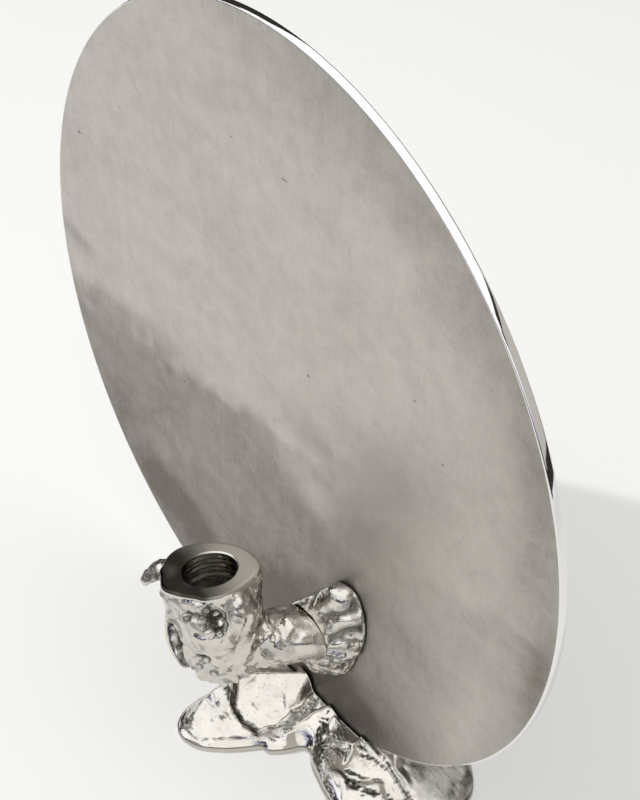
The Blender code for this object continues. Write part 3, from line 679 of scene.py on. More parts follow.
def paper(name, colour):
    """Matt, even paper for the floor, with a trace of tooth.

    Camera, mirrored and transmitted rays see a third of the paper's own colour without shading,
    which keeps the backdrop even and leaves the shadow. Far out they see only that colour, so the
    floor runs into the background.
    """
    tree = material_tree(name)
    tooth = tree.noise(tree.place(), 900.0, 3.0, 0.5)
    matt = tree.add("BsdfDiffuse", {"Color": (*colour, 1.0),
                                    "Normal": tree.bump(tooth, 0.00004, 0.2)})
    plain = tree.add("Emission", {"Color": (*colour, 1.0), "Strength": 1.0})
    share = tree.times(tree.seen(), tree.ranged(tree.length(tree.place()), 0.8, 1.7, 0.33, 1.0))
    return tree.close(tree.add("MixShader", {0: share, 1: matt.outputs[0], 2: plain.outputs[0]}))


def glow(name, colour):
    """A card's material: it shines with its own plain colour."""
    tree = material_tree(name)
    return tree.close(tree.add("Emission", {"Color": (*colour, 1.0), "Strength": 1.0}))


# Shapes


def disc_rows(sizes):
    """The disc as rows from its front middle over the edge to its back middle.

    A column's reach is the radius on the arc, and on the flat the distance to the chord. Each row
    is a share of that reach, less the edge's rounding, at its own depth. The faces wander by up
    to 0.2 mm.
    """
    radius, half = mm(sizes.disc_radius), mm(sizes.disc_flat)
    thick, edge = mm(sizes.disc_thickness), mm(sizes.edge_round)
    arc_columns, flat_columns, most_sway = 520, 80, 0.2
    drop = math.sqrt(radius * radius - half * half)
    corner = math.asin(half / radius)
    arc = np.linspace(-math.pi / 2 + corner, 3 * math.pi / 2 - corner, arc_columns + 1)[:-1]
    chord = np.arctan2(-drop, np.linspace(-half, half, flat_columns + 1)[:-1])
    turn = np.concatenate([arc, chord])
    reach = np.concatenate([np.full(arc_columns, radius), drop / -np.sin(chord)])
    ray = np.stack([np.cos(turn), np.zeros_like(turn), np.sin(turn)], -1)
    shares = np.linspace(0.004, 1.0, 72)
    bend = np.linspace(0.0, math.pi / 2, 6)[1:]
    rows = [(share, edge, 0.0) for share in shares]
    rows += [(1.0, edge * (1.0 - math.sin(b)), edge * (1.0 - math.cos(b))) for b in bend]
    rows += [(1.0, edge * (1.0 - math.sin(b)), thick - edge * (1.0 - math.cos(b)))
             for b in bend[::-1]]
    rows += [(share, edge, thick) for share in shares[::-2]]
    share, less, depth = np.array(rows).T[..., None]
    grid = (reach * share - less * np.minimum(1.0, share * 9.0))[..., None] * ray
    grid[..., 2] += SEAT_HEIGHT + drop
    sway = 0.10 + 0.06 * waves(grid, 120.0, 3) + 0.025 * waves(grid, 46.0, 4)
    face = (less == edge) * smooth((1.0 - share) / 0.02)
    inwards = np.where(depth < thick / 2, 1.0, -1.0)
    grid[..., 1] = depth + inwards * face * np.clip(sway, 0.0, most_sway)
    polished = np.broadcast_to((less < edge * 0.999) * 1.0, grid.shape[:2])
    shade = disc_shade(grid, thick / 2, SEAT_HEIGHT + drop)
    return grid, {"polished": polished, "shade": shade}


def disc_shade(points, half_thick, middle):
    """How dark the satin is at each point, 0 to 1: a low bank of shade with a wavy upper edge.

    The bank is painted shade: a smooth step down through a height that waves with x. Oval patches
    of painted shade and painted reflection, lighter where below zero, and a band of painted shade
    along the upper right edge are added to it. The back is paler and more even.
    """
    x, z = points[..., 0], points[..., 2]
    wave = 6.0 * waves(points, 70.0, 501) + 3.5 * waves(points, 26.0, 502) \
        + 2.0 * waves(points, 11.0, 503)
    line = 141.0 + 10.0 * smooth((x + 60.0) / 50.0) + wave
    right = smooth((x - 20.0) / 90.0)
    bank = smooth((line - z) / 16.0) * (1.0 - 0.62 * right)
    total = 0.50 * bank + 0.16 * smooth((105.0 - z) / 70.0) * (1.0 - 0.8 * right)
    for cx, cz, wide, tall, turn, depth in DISC_PAINTED_PATCHES:
        u, v = turned(x - cx, z - cz, turn)
        total = total + depth * np.exp(-(u / wide) ** 2 - (v / tall) ** 2)
    reach = np.hypot(x, z - middle)
    heading = np.degrees(np.arctan2(z - middle, x))
    band = smooth((reach - 118.0) / 42.0) * window(heading, -5.0, 40.0, 115.0, 40.0)
    total = np.clip(total + 0.30 * band, 0.0, 1.0)
    return np.where(points[..., 1] < half_thick, total, 0.12 + 0.2 * total)


def rim_reach(around, sizes):
    """The rim's outline: its radius times its shape."""
    return mm(sizes.rim_radius) * wrapped(RIM_SHAPE, around, curve=True)


def cup_wall(around, depth, sizes):
    """Radius of the bare cup at a turn and depth.

    It follows the rim's outline at the top, tapers with a smooth step to the foot radius, and
    swells and shrinks by 4 per cent as it winds down.
    """
    at = np.clip(depth / mm(sizes.cup_length), 0.0, 1.0)
    wide, narrow = mm(sizes.cup_radius), mm(sizes.stem_radius)
    radius = wide + (narrow - wide) * smooth((at - 0.2) / 0.7)
    radius = radius * (1.0 + 0.04 * np.sin(3.0 * around + 8.0 * at))
    return radius + (rim_reach(around, sizes) - radius) * np.clip(1.0 - at / 0.10, 0.0, 1.0)


def cup_ray(degrees):
    """The direction away from the cup's axis at a turn about it."""
    turn = math.radians(degrees)
    return CUP_SIDE * math.cos(turn) + AHEAD * math.sin(turn)


def rim_place(degrees, reach, depth):
    """A point by its turn about the cup's axis, its distance from it and its depth."""
    return RIM_CENTRE - CUP_AXIS * depth + cup_ray(degrees) * reach


def cup_place(degrees, depth, inset, sizes):
    """A point on the cup's wall at a turn and depth, set in by a little."""
    wall = float(cup_wall(math.radians(degrees), depth, sizes))
    return rim_place(degrees, wall - inset, depth)


def cup_field(points, sizes):
    """How far points lie outside the cup and arm, in millimetres, about.

    The cup is its wall closed by half an ellipsoid, the arm a rod from the collar to the elbow,
    and the runs are rods on the wall. All are melted together.
    """
    mean_radius, arm_melt, run_melt = 14.0, 4.5, 2.2
    q = points - RIM_CENTRE
    depth = -(q @ CUP_AXIS)
    u, v = q @ CUP_SIDE, q @ AHEAD
    radius = cup_wall(np.arctan2(v, u), depth, sizes)
    over = np.clip(depth - (mm(sizes.cup_length) - CUP_END), 0.0, None) / CUP_END
    cup = (np.hypot(np.hypot(u, v) / radius, over) - 1.0) * mean_radius
    q = points - ARM_ROOT
    x = q @ HEADING
    off = q - np.minimum(x, ARM_LENGTH)[..., None] * HEADING
    turn = np.arctan2(off @ UP, off @ RIGHT)
    arm = np.linalg.norm(off, axis=-1) \
        - mm(sizes.arm_radius) * (1.0 + 0.05 * np.sin(2.0 * turn + 7.0 * x / ARM_LENGTH))
    total = melt(cup, arm, arm_melt)
    for degrees, start, stop, radius, inset in CUP_RUNS:
        run = rod(points, cup_place(degrees, start, inset, sizes),
                  cup_place(degrees, stop, inset, sizes), radius)
        total = melt(total, run, run_melt)
    return total


def cup_planes(seam_x):
    """The planes that carry the outer rows of the arm and cup, from the seam to the lip.

    They stand across the arm, then fan about a line above the elbow until they stand across the
    cup's axis, and climb it. Each has a centre, two directions and its way from the seam.
    """
    turn_x, above, fan_depth = 28.3, 13.8, 26.6    # where the fan starts, its line and its end
    far = 40.0                                     # way from the seam of all planes past the arm
    start = ARM_ROOT + HEADING * turn_x
    pivot = start + UP * above
    planes = []
    for share in np.linspace(0.0, 1.0, 34):                       # across the arm
        level = smooth(share * 1.3)
        normal = unit((1.0 - level) * -AHEAD + level * HEADING)
        one = unit((1.0 - share) * unit(np.cross(normal, UP)) + share * HINGE)
        way = (turn_x - seam_x) * share
        planes.append((ARM_ROOT + HEADING * (seam_x + way), one, normal, way))
    last = RIM_CENTRE - CUP_AXIS * fan_depth
    below = float(np.cross(HINGE, CUP_AXIS) @ (pivot - last))
    aside, start_aside = float(HINGE @ (pivot - last)), float(HINGE @ (pivot - start))
    cosine = float(HEADING @ CUP_AXIS)
    square = unit(CUP_AXIS - HEADING * cosine)
    for share in np.linspace(0.0, 1.0, 124)[1:]:                  # fanned round the elbow
        angle = share * math.acos(cosine)
        normal = HEADING * math.cos(angle) + square * math.sin(angle)
        centre = pivot - np.cross(HINGE, normal) * (above + (below - above) * share) \
            - HINGE * (start_aside + (aside - start_aside) * share)
        planes.append((centre, HINGE, normal, far))
    for depth in np.linspace(fan_depth, LIP, 64)[1:]:             # up the cup
        planes.append((RIM_CENTRE - CUP_AXIS * depth, HINGE, CUP_AXIS, far))
    centres, ones, normals, back = (np.array(column) for column in zip(*planes))
    ones = unit(ones - normals * (ones * normals).sum(-1, keepdims=True))
    return centres, ones, np.cross(ones, normals), back


def cup_rows(sizes):
    """The cup and arm in one surface, from the tenon's end to the middle of the bore's floor.

    In its plane each column's ray meets the surface where the field is zero, found by halving. The
    rim is dull and dark with painted shade on the side that turns 105 degrees back from +X, and the
    bore grows dark with painted shade downwards.
    """
    theta = circle(300)
    cos, sin = np.cos(theta)[:, None], np.sin(theta)[:, None]
    seam = ARM_ROOT - HEADING * ((mm(sizes.collar_depth) + SEAM_GAP) / HEADING[1])
    centres, ones, twos, back = cup_planes(float((seam - ARM_ROOT) @ HEADING))
    rays = ones[:, None] * cos + twos[:, None] * sin
    low, high = np.zeros(rays.shape[:2]), np.full(rays.shape[:2], 38.0)
    for _ in range(19):
        middle = (low + high) / 2.0
        outside = cup_field(centres[:, None] + rays * middle[..., None], sizes) > 0.0
        high = np.where(outside, middle, high)
        low = np.where(outside, low, middle)
    nick = np.clip(1.0 - back / 0.5, 0.0, 1.0)
    reach = (low + high) / 2.0 - (SEAM_NICK * (1.0 - np.sqrt(1.0 - nick ** 2)))[:, None]
    body = centres[:, None] + rays * reach[..., None]
    below = -((centres - RIM_CENTRE) @ CUP_AXIS) - LIP
    calm = (smooth(back / 1.2) * smooth(np.clip(below, 0.0, 9.0) / 2.2))[:, None]
    body, oxide_and_shade, dull = cup_relief(body, calm, sizes)

    ring = HINGE * cos + np.cross(HINGE, CUP_AXIS) * sin
    top = np.linalg.norm(body[-1] - centres[-1], axis=-1)
    crown, base, depth = bore_rows(top, ring, sizes)
    edge = np.linalg.norm(body[0] - centres[0], axis=-1)
    tenon = tenon_rows(seam, RIGHT * cos + UP * sin, rays[0], edge)

    # The rim darkens towards one side as painted shade and painted reflection; the bore darkens
    # downwards and on its floor as painted shade
    inside, shaded_heading = depth > 0.8, math.radians(-105.0)
    heading = np.arctan2(ring @ AHEAD, ring @ CUP_SIDE) - shaded_heading
    painted_rim_shade = smooth(0.54 + 0.66 * np.cos(heading)) * (1.0 + 0.05 * waves(crown, 9.0, 81))
    deep = np.clip((depth - 4.0) / 26.0, 0.0, 0.5) * (1.0 + 0.3 * waves(crown, 6.0, 82))
    painted_crown_shade = np.clip(np.where(inside, deep, painted_rim_shade), 0.0, 1.0)
    parts = (tenon, body, crown, base)
    return np.concatenate(parts), {
        "oxide_and_shade": joined(parts, (0.0, oxide_and_shade, painted_crown_shade, 0.9)),
        "clean": joined(parts, (1.0, 1.0 - calm, 1.0 - 0.4 * inside, 0.3)),
        "soft": joined(parts, (0.0, dull, 0.4 * inside, 0.0)),
    }


def bore_rows(top, ring, sizes):
    """The lip, the flat rim, the bore and its floor, as a profile about the cup's axis.

    Each row of the profile has its share of the way from the rim's outline to the bore, a change
    of radius and a depth. Gives the rows down to the floor, the floor's rows and the depths.
    """
    bare, floor = mm(sizes.bore_radius), mm(sizes.bore_depth)
    groove_width, groove_depth = 1.3, 0.46
    lip, edge, foot = (np.linspace(0.0, math.pi / 2, count)[1:] for count in (8, 5, 4))
    profile = [(0.0, -LIP * (1.0 - math.cos(t)), LIP * (1.0 - math.sin(t))) for t in lip]
    profile += [(share, 0.0, 0.0) for share in np.linspace(0.0, 1.0, 12)[1:]]
    profile += [(1.0, -BORE_EDGE * math.sin(t), BORE_EDGE * (1.0 - math.cos(t))) for t in edge]
    for depth in np.linspace(BORE_EDGE, floor - FLOOR_ROUND, 60)[1:]:
        groove = sum(line_mark(depth - at, groove_width) for at in BORE_GROOVES)
        profile.append((1.0, groove_depth * groove - BORE_EDGE, depth))
    profile += [(1.0, -BORE_EDGE - FLOOR_ROUND * (1.0 - math.cos(t)),
                 floor - FLOOR_ROUND * (1.0 - math.sin(t))) for t in foot]
    share, plus, depth = np.array(profile).T[..., None]
    flat_top = top - LIP
    reach = flat_top + (bare + BORE_EDGE - flat_top) * share + plus
    reach = np.where(share == 0, top + plus, reach)
    crown = RIM_CENTRE - CUP_AXIS * depth[..., None] + ring * reach[..., None]
    inner = np.array([0.6, 0.2, 0.02])[:, None, None]
    base = RIM_CENTRE - CUP_AXIS * floor + ring * ((bare - FLOOR_ROUND) * inner)
    return crown, base, depth


def tenon_rows(seam, ring, face_ray, edge):
    """The tenon from the middle of its end, and the arm's end face from it out to the edge."""
    bevel, face_start = 0.4, 3.0
    rows = [seam - HEADING * back + ring * radius for radius, back in (
        (0.2, TENON_LENGTH), (TENON_RADIUS - bevel, TENON_LENGTH),
        (TENON_RADIUS, TENON_LENGTH - bevel), (TENON_RADIUS, face_start))]
    root = TENON_RADIUS / np.sqrt(1.0 - (face_ray @ HEADING) ** 2)
    rows += [seam + face_ray * (root + (edge - root) * share)[:, None]
             for share in (0.0, 0.3, 0.7, 0.95)]
    return np.array(rows)


def cup_relief(body, calm, sizes):
    """The cast surface of the cup and arm, as moves along the normal.

    Broad lumps lie all over and small ones in rough patches. Upright folds run down the right, a
    rough fringe under the rim in front, sagging lumps below the elbow and broad ones under the arm.
    Beads and pits are domes. Hollows, pits and the feet of beads are marked dark, as oxide and
    painted shade, and so are the fringe and a little of the left side; the folds and the arm are
    marked soft. Gives the points and both marks.
    """
    amount = sizes.relief
    normal = grid_normals(body)
    at = drifted(body, 13.0, 1.6, 11)
    q = body - RIM_CENTRE
    u, v, low = q @ CUP_SIDE, q @ AHEAD, -(q @ CUP_AXIS)
    turn, along, z = np.degrees(np.arctan2(v, u)), (body - ARM_ROOT) @ HEADING, body[..., 2]
    broad, small, tiny = waves(at, 11.0, 21), waves(at, 5.0, 31), waves(at, 2.2, 41)
    upright = waves(np.stack([u, v, low * 0.30], -1), 6.6, 61)

    # Where each kind shows, 0 to 1
    rough = smooth(waves(body, 20.0, 51) * 1.3 + 0.35)
    on_arm = smooth((u - 17.0) / 6.0) * smooth((low - 22.0) / 5.0)
    off_arm = smooth((24.0 - u) / 5.0)
    grainy = smooth((low - 22.0) / 8.0) * off_arm
    right = window(turn, -40.0, 20.0, 80.0, 20.0) * (1.0 - on_arm)
    left = window(turn, -150.0, 12.0, -40.0, 20.0) * (1.0 - on_arm)
    folds = window(turn, -26.0, 12.0, 80.0, 20.0) * smooth((32.0 - low) / 8.0) \
        * smooth((25.0 - np.hypot(u, v)) / 3.0)
    fringe = window(turn, -150.0, 14.0, -20.0, 12.0) * smooth((4.6 - low) / 1.6)
    sag = smooth((along - 16.0) / 6.0) * smooth((62.0 - z) / 5.0)
    under = smooth((ARM_LENGTH - 12.0 - along) / 6.0) * smooth((65.0 - z) / 5.0)

    lump = (0.62 - 0.45 * on_arm - 0.20 * right) * broad \
        + (0.05 * rough + 0.02 * grainy + 0.03 * left) * off_arm * tiny \
        + (0.03 + (0.20 * rough + 0.10 * grainy + 0.10 * left) * off_arm) * small \
        + folds * (0.72 * upright + 0.08 * tiny) \
        + fringe * (0.30 * tiny + 0.25 * small) \
        + sag * (0.32 * small + 0.12 * tiny) \
        + under * 0.75 * waves(at, 8.0, 71)
    # Dark marks: oxide in the hollows, and painted shade in pits, under the rim's fringe, round the
    # beads' feet and a little over the left side
    oxide_and_shade = np.maximum.reduce((
        rough * smooth((-small - 0.55) / 0.6) * 0.5,
        left * (0.06 + 0.50 * smooth((-small - 0.15) / 0.9)),
        on_arm * smooth((0.5 - broad) / 1.2) * 0.34,
        folds * smooth((-upright - 0.45) / 0.5) * 0.6,
        fringe * smooth((0.3 - tiny) / 0.8) * 0.85,
        sag * smooth((-small - 0.1) / 0.7) * 0.6))
    move = lump * amount
    for degrees, depth, radius, height in CUP_BEADS:
        distance = np.linalg.norm(body - cup_place(degrees, depth, 0.0, sizes), axis=-1)
        move += dome(distance, radius) * height * amount
        if height < 0:
            oxide_and_shade = np.maximum(oxide_and_shade, smooth(2.2 * (1.0 - distance / radius)))
        else:
            oxide_and_shade = np.maximum(oxide_and_shade * smooth(distance / radius * 3.0 - 2.0),
                                 line_mark(distance - radius, BEAD_FOOT) * 0.8)
    body = body + normal * (move * calm)[..., None]
    front, give = RIM_CENTRE[1] - mm(sizes.rim_radius) * 1.048, 0.25
    past = np.clip(front - body[..., 1], 0.0, None)
    body[..., 1] += past - give * np.tanh(past / give)            # hardly past the rim in front
    return body, oxide_and_shade * calm, np.maximum(folds, 0.35 + 0.35 * on_arm) * calm


def horn_rows():
    """The horn: a drop that leaves the rim on the left and curls down, with a folded surface."""
    rows = tube_rows([rim_place(*place) for place in HORN_LINE], HORN_RADII, CUP_AXIS, 0.8)
    fold = waves(drifted(rows, 7.0, 0.8, 411), 5.5, 421)
    rows = rows + grid_normals(rows) * (0.42 * fold + 0.12 * waves(rows, 2.4, 431))[..., None]
    # The folds' hollows are darkened, as oxide and painted shade
    return rows, {"oxide_and_shade": smooth((1.0 - fold) / 0.8) * 0.85, "clean": np.full(fold.shape, 0.6)}


def shell_rows(sizes):
    """The hollow drip: a thin dished strip that stands off the cup, dark inside its bright rim."""
    line = [cup_place(*place, sizes) for place in SHELL_LINE]
    rows = tube_rows(line, SHELL_RADII, cup_ray(SHELL_SIDE), 0.17, 0.09)
    # The dished faces are darkened as painted shade, which leaves the rim bright
    inner = smooth((0.76 - np.abs(np.cos(circle(rows.shape[1])))) / 0.08)
    inner = inner * np.clip(0.85 + 0.45 * waves(rows, 4.0, 441), 0.0, 1.0)
    return rows, {"oxide_and_shade": inner, "clean": np.full(inner.shape, 0.8)}


def collar_outline(around, sizes):
    """The collar's outline on the disc from the arm's axis: a tilted oval set 1.5 mm below it."""
    tilt, drop = math.radians(20.0), 1.5
    tall, wide = mm(sizes.collar_half_height), mm(sizes.collar_half_width)
    ray = np.stack([np.cos(around), np.sin(around)], -1)
    along = np.array([math.sin(tilt), math.cos(tilt)])
    across = np.array([along[1], -along[0]])
    p, q = ray @ along / tall, ray @ across / wide
    cp, cq = -drop * along[1] / tall, -drop * across[1] / wide
    a, b, c = p * p + q * q, p * cp + q * cq, cp * cp + cq * cq - 1.0
    return (b + np.sqrt(b * b - a * c)) / a


def collar_rows(sizes):
    """The collar from the middle of its back, over its shoulder, to the middle of the seam face.

    The shoulder falls from the outline to the arm's radius as the square root of one less the
    depth's share to the power 1.6. Painted shade makes it darkest next to the disc.
    """
    around, deep = circle(260), mm(sizes.collar_depth)
    narrow = mm(sizes.arm_radius) * 1.04
    ray = np.stack([np.cos(around), np.zeros_like(around), np.sin(around)], -1)
    share = np.linspace(0.0, 1.0, 90)[:, None] ** 1.25
    depth = DISC_GAP + (deep - DISC_GAP) * share
    shoulder = np.sqrt(np.clip(1.0 - share ** 1.6, 0.0, 1.0))
    radius = narrow + (collar_outline(around, sizes) - narrow) * shoulder
    radius = radius * (1.0 + 0.03 * np.sin(4.0 * around + 5.0 * share))
    aside = HEADING[0] / -HEADING[1] * depth * smooth(share)      # follows the arm's axis
    hub = ARM_ROOT + np.stack([aside, -depth, np.zeros_like(depth)], -1)
    calm = smooth((depth - DISC_GAP) / 1.5) * smooth((deep - depth) / 0.7)
    body, oxide_and_shade = collar_relief(hub + ray * radius[..., None], calm, sizes)
    # Painted shade next to the disc
    oxide_and_shade = np.maximum(oxide_and_shade, smooth((1.1 - depth) / 0.6))
    nick = np.clip(1.0 - (deep - depth) / 0.4, 0.0, 1.0)[..., None]
    middle = body.mean(1, keepdims=True)
    body = body + unit(middle - body) * SEAM_NICK * (1.0 - np.sqrt(1.0 - nick ** 2))
    back, front = (np.array([hub[end] + (body[end] - hub[end]) * s for s in shares])
                   for end, shares in ((0, (0.02, 0.4, 0.8, 0.98)), (-1, (0.96, 0.7, 0.4, 0.02))))
    parts = (back, body, front)
    clean = joined(parts, (1.0, 1.0 - calm, 1.0))
    return np.concatenate(parts), {"oxide_and_shade": joined(parts, (1.0, oxide_and_shade, 1.0)), "clean": clean,
                                   "soft": (1.0 - clean) * 0.5}


def collar_relief(body, calm, sizes):
    """Broad folds that run from the disc to the arm, rough low on the right, and a few beads.

    The bottoms of the folds, small hollows and the feet of beads are marked dark, as oxide and
    painted shade.
    """
    amount = sizes.relief
    normal = grid_normals(body)
    at = drifted(body, 14.0, 1.6, 111)
    off = body - ARM_ROOT
    turn = np.arctan2(off[..., 2], off[..., 0]) + 0.10 * waves(at, 18.0, 151)
    degrees = np.degrees(turn)
    small, tiny = waves(at, 4.6, 131), waves(at, 2.0, 141)
    rough = window(degrees, -150.0, 30.0, 36.0, 14.0)
    by_seam = smooth((body[..., 1] + 10.4) / -2.0)
    lump = wrapped(COLLAR_FOLDS, turn, curve=True) + 0.14 * waves(at, 10.0, 121) \
        + (0.08 + 0.33 * rough + 0.06 * by_seam) * small + 0.12 * rough * tiny
    oxide_and_shade = np.maximum((0.30 + 0.45 * rough) * smooth((-small - 0.2) / 0.6),
                         smooth((-wrapped(COLLAR_FOLDS, turn) - 0.2) / 0.7) * 0.8)
    move = lump * amount
    for place, radius, height in COLLAR_BEADS:
        distance = np.linalg.norm(body - np.array(place), axis=-1)
        move += dome(distance, radius) * height * amount
        oxide_and_shade = np.maximum(oxide_and_shade, line_mark(distance - radius, BEAD_FOOT) * 0.7)
    body = body + normal * (move * calm)[..., None]
    return body, np.clip(oxide_and_shade, 0.0, 1.0) * calm


def line_distance(x, y, line):
    """Nearest distance to a line of points in plan, the height of the line there, and the side.

    The side is the x of the step from the line to the point.
    """
    best = np.full(x.shape, 1e9)
    height, side = np.zeros(x.shape), np.zeros(x.shape)
    for a, b in zip(line, line[1:]):
        run = np.array(b[:2]) - np.array(a[:2])
        t = np.clip(((x - a[0]) * run[0] + (y - a[1]) * run[1]) / (run @ run), 0.0, 1.0)
        dx, dy = x - a[0] - t * run[0], y - a[1] - t * run[1]
        distance = np.hypot(dx, dy)
        near = distance < best
        best = np.where(near, distance, best)
        side = np.where(near, dx, side)
        height = np.where(near, a[2] + (b[2] - a[2]) * t, height)
    return best, height, side


def foot_height(x, y, out, around, sizes):
    """Height of the foot's top before its edge is rounded.

    The crown falls to the band with the fourth power of the share of the way out, and less
    steeply towards the front. The ridge falls off evenly from its line, quickly on its -X side, and
    is melted into the crown. In front the height is the mean of tilted planes, each weighted by a
    bell round its own place. Under the disc it stops at the seat.
    """
    band, seat_play, free = mm(sizes.foot_band), 0.1, 9.0         # free: no limit past the disc
    plain_weight, least_bell = 0.00002, 1e-12
    facing = smooth((np.cos(around + math.radians(38.0)) - 0.2) / 0.6)
    crown = band + (SEAT_HEIGHT + SEAT_SINK - band) * (1.0 - out ** (4.0 - 1.7 * facing))
    distance, line, side = line_distance(x, y, FOOT_RIDGE)
    fall = np.where(side > 0, 0.66, 1.5)
    ridge = line - fall * (np.sqrt(distance ** 2 + 4.0) - 2.0)
    height = np.maximum(-melt(-crown, -ridge, 2.0), band)
    total, weight = height * plain_weight, np.full(height.shape, plain_weight)
    front = smooth(side / 2.0) * smooth((3.0 - y) / 2.0) + smooth((x - 62.0) / 5.0)
    front = np.clip(front, 0.0, 1.0)
    for fx, fy, fz, along, across, size in FOOT_FACES:
        bell = np.exp(-2.0 * ((x - fx) ** 2 + (y - fy) ** 2) / size ** 2) * front + least_bell
        total = total + bell * (fz + along * (x - fx) + across * (y - fy))
        weight = weight + bell
    seat = SEAT_HEIGHT - seat_play \
        + free * (smooth((-0.5 - y) / 0.6) + smooth((np.abs(x) - 60.0) / 4.0))
    return np.minimum(np.maximum(total / weight, band), seat)


def foot_rows(sizes):
    """The foot: rows of a polar grid from its crown over the rounded edge to its underside.

    Towards the outline the top rounds down as a quarter ellipse over 5 mm, and in front as a bevel
    that rises 1.4 times its distance from the outline. A broken line of painted shade stands for a
    crease along the front lobe's bevel, and the back of the right lobe is brushed.
    """
    columns, band = 500, mm(sizes.foot_band)
    around = circle(columns)
    reach = wrapped(FOOT_OUTLINE, around, curve=True) * mm(sizes.foot_radius)
    reach = reach - line_mark(np.degrees(around) - 255.0, 1.8)    # a notch between two lobes
    out = (np.linspace(0.006, 1.0, 174) ** 0.8)[:, None] * np.ones(columns)
    x = FOOT_CENTRE[0] + reach * np.cos(around) * out
    y = FOOT_CENTRE[1] + reach * np.sin(around) * out
    height = foot_height(x, y, out, around, sizes)
    outline = [(x[-1, i], y[-1, i], 0.0) for i in range(0, columns, 4)]
    inset = line_distance(x, y, outline + outline[:1])[0] * (out < 1.0)
    inward = np.clip(inset / 5.0, 0.0, 1.0)
    rounded = (height - band) * np.sqrt(1.0 - (1.0 - inward) ** 2)
    bevel = np.maximum(melt(height - band, 1.4 * inset, 0.8), 0.0)
    in_front = smooth((46.0 - x) / 8.0) * smooth((-8.0 - y) / 8.0)
    top = np.stack([x, y, band + rounded + (bevel - rounded) * in_front], -1)
    calm = smooth(inset / 2.0)
    top, oxide_and_shade = foot_relief(top, calm, sizes)
    torn = smooth(0.75 + 0.8 * waves(top, 3.4, 271)) * smooth((28.0 - x) / 4.0) \
        * smooth((-26.0 - y) / 4.0)
    # A broken line of painted shade, standing for a crease along the front lobe's bevel
    crease = line_mark(inset - 2.7 + 0.3 * waves(top, 8.0, 272), 0.42)
    oxide_and_shade = np.maximum(oxide_and_shade, crease * torn)
    # Painted shade along the edge where the top turns down to the wall
    oxide_and_shade[-2:] = np.maximum(oxide_and_shade[-2:], 0.75)

    drop, less = np.array(FOOT_WALL).T[..., None]
    wall = np.repeat(top[-1:], len(FOOT_WALL), axis=0)
    wall[..., :2] -= np.stack([np.cos(around), np.sin(around)], -1) * less[..., None]
    wall[..., 2] = band * (1.0 - drop)
    shares = np.array([0.9, 0.5, 0.01])[:, None, None]
    under = np.repeat(wall[-1:], len(shares), axis=0)
    under[..., :2] = FOOT_CENTRE[:2] + (under[..., :2] - FOOT_CENTRE[:2]) * shares
    parts = (top, wall, under)
    rows = np.concatenate(parts)
    # The wall's top row carries painted shade under the edge, the rest is a little darker, and the
    # underside is dark
    wall_darkening = np.where(drop == FOOT_WALL[0][0], 0.55, 0.15)
    ragged = 1.2 * waves(rows, 9.0, 261) + 0.5 * waves(rows, 3.0, 262)
    x, y, z = np.moveaxis(rows, -1, 0)
    brushed = smooth((y + 0.3 + ragged) / 1.6) * (0.5 + 0.5 * smooth((y - 3.0) / 8.0)) \
        * smooth((x - 74.0) / 3.0) * smooth((z - band - 1.0) / 1.5)
    return rows, {
        "oxide_and_shade": joined(parts, (oxide_and_shade, wall_darkening, 1.0)),
        "clean": joined(parts, (1.0 - calm * 0.6, 0.8, 1.0)),
        "brushed": brushed,
        "soft": joined(parts, (np.clip(1.4 * inward - 0.6, 0.0, 1.0), 0.0, 0.0)),
    }


def foot_relief(top, calm, sizes):
    """Soft lumps all over, and sharp small hollows in the rough places, which are marked dark.

    A rough place is an oval with a ragged edge. A painted shadow darkens the line where the disc
    meets the foot.
    """
    normal = grid_normals(top)
    at = drifted(top, 22.0, 2.5, 211)
    x, y = top[..., 0], top[..., 1]
    ragged = 0.30 * waves(top, 5.0, 251) + 0.34 * waves(top, 1.9, 252)
    crag = np.zeros(x.shape)
    for cx, cy, wide, tall, turn, depth in FOOT_CRAGS:
        u, v = turned(x - cx, y - cy, turn)
        inside = smooth(2.9 - 2.3 * np.hypot(u / wide, v / tall) + 2.2 * ragged)
        crag = np.maximum(crag, depth * inside)
    tiny, fine = waves(at, 2.1, 241), waves(at, 1.3, 242, 30)
    move = 0.15 * waves(at, 17.0, 221) + 0.06 * waves(at, 7.0, 231) + 0.012 * waves(at, 2.6, 232) \
        + crag * (0.24 * tiny + 0.18 * fine - 0.35)
    keep = np.where(np.abs(y - 1.9) < 3.0, 0.3, 1.0)              # calmer under the disc
    top = top + normal * (move * sizes.relief * calm * keep)[..., None]
    dark = crag * np.clip(1.05 - 0.45 * tiny, 0.4, 1.0) * smooth(calm * 3.0)
    # Painted shadow along the line where the disc stands on the foot
    painted_seat_shadow = window(y, -1.3, 0.5, 0.6, 0.4) * smooth((72.0 - x) / 3.0)
    return top, np.maximum(dark, painted_seat_shadow)


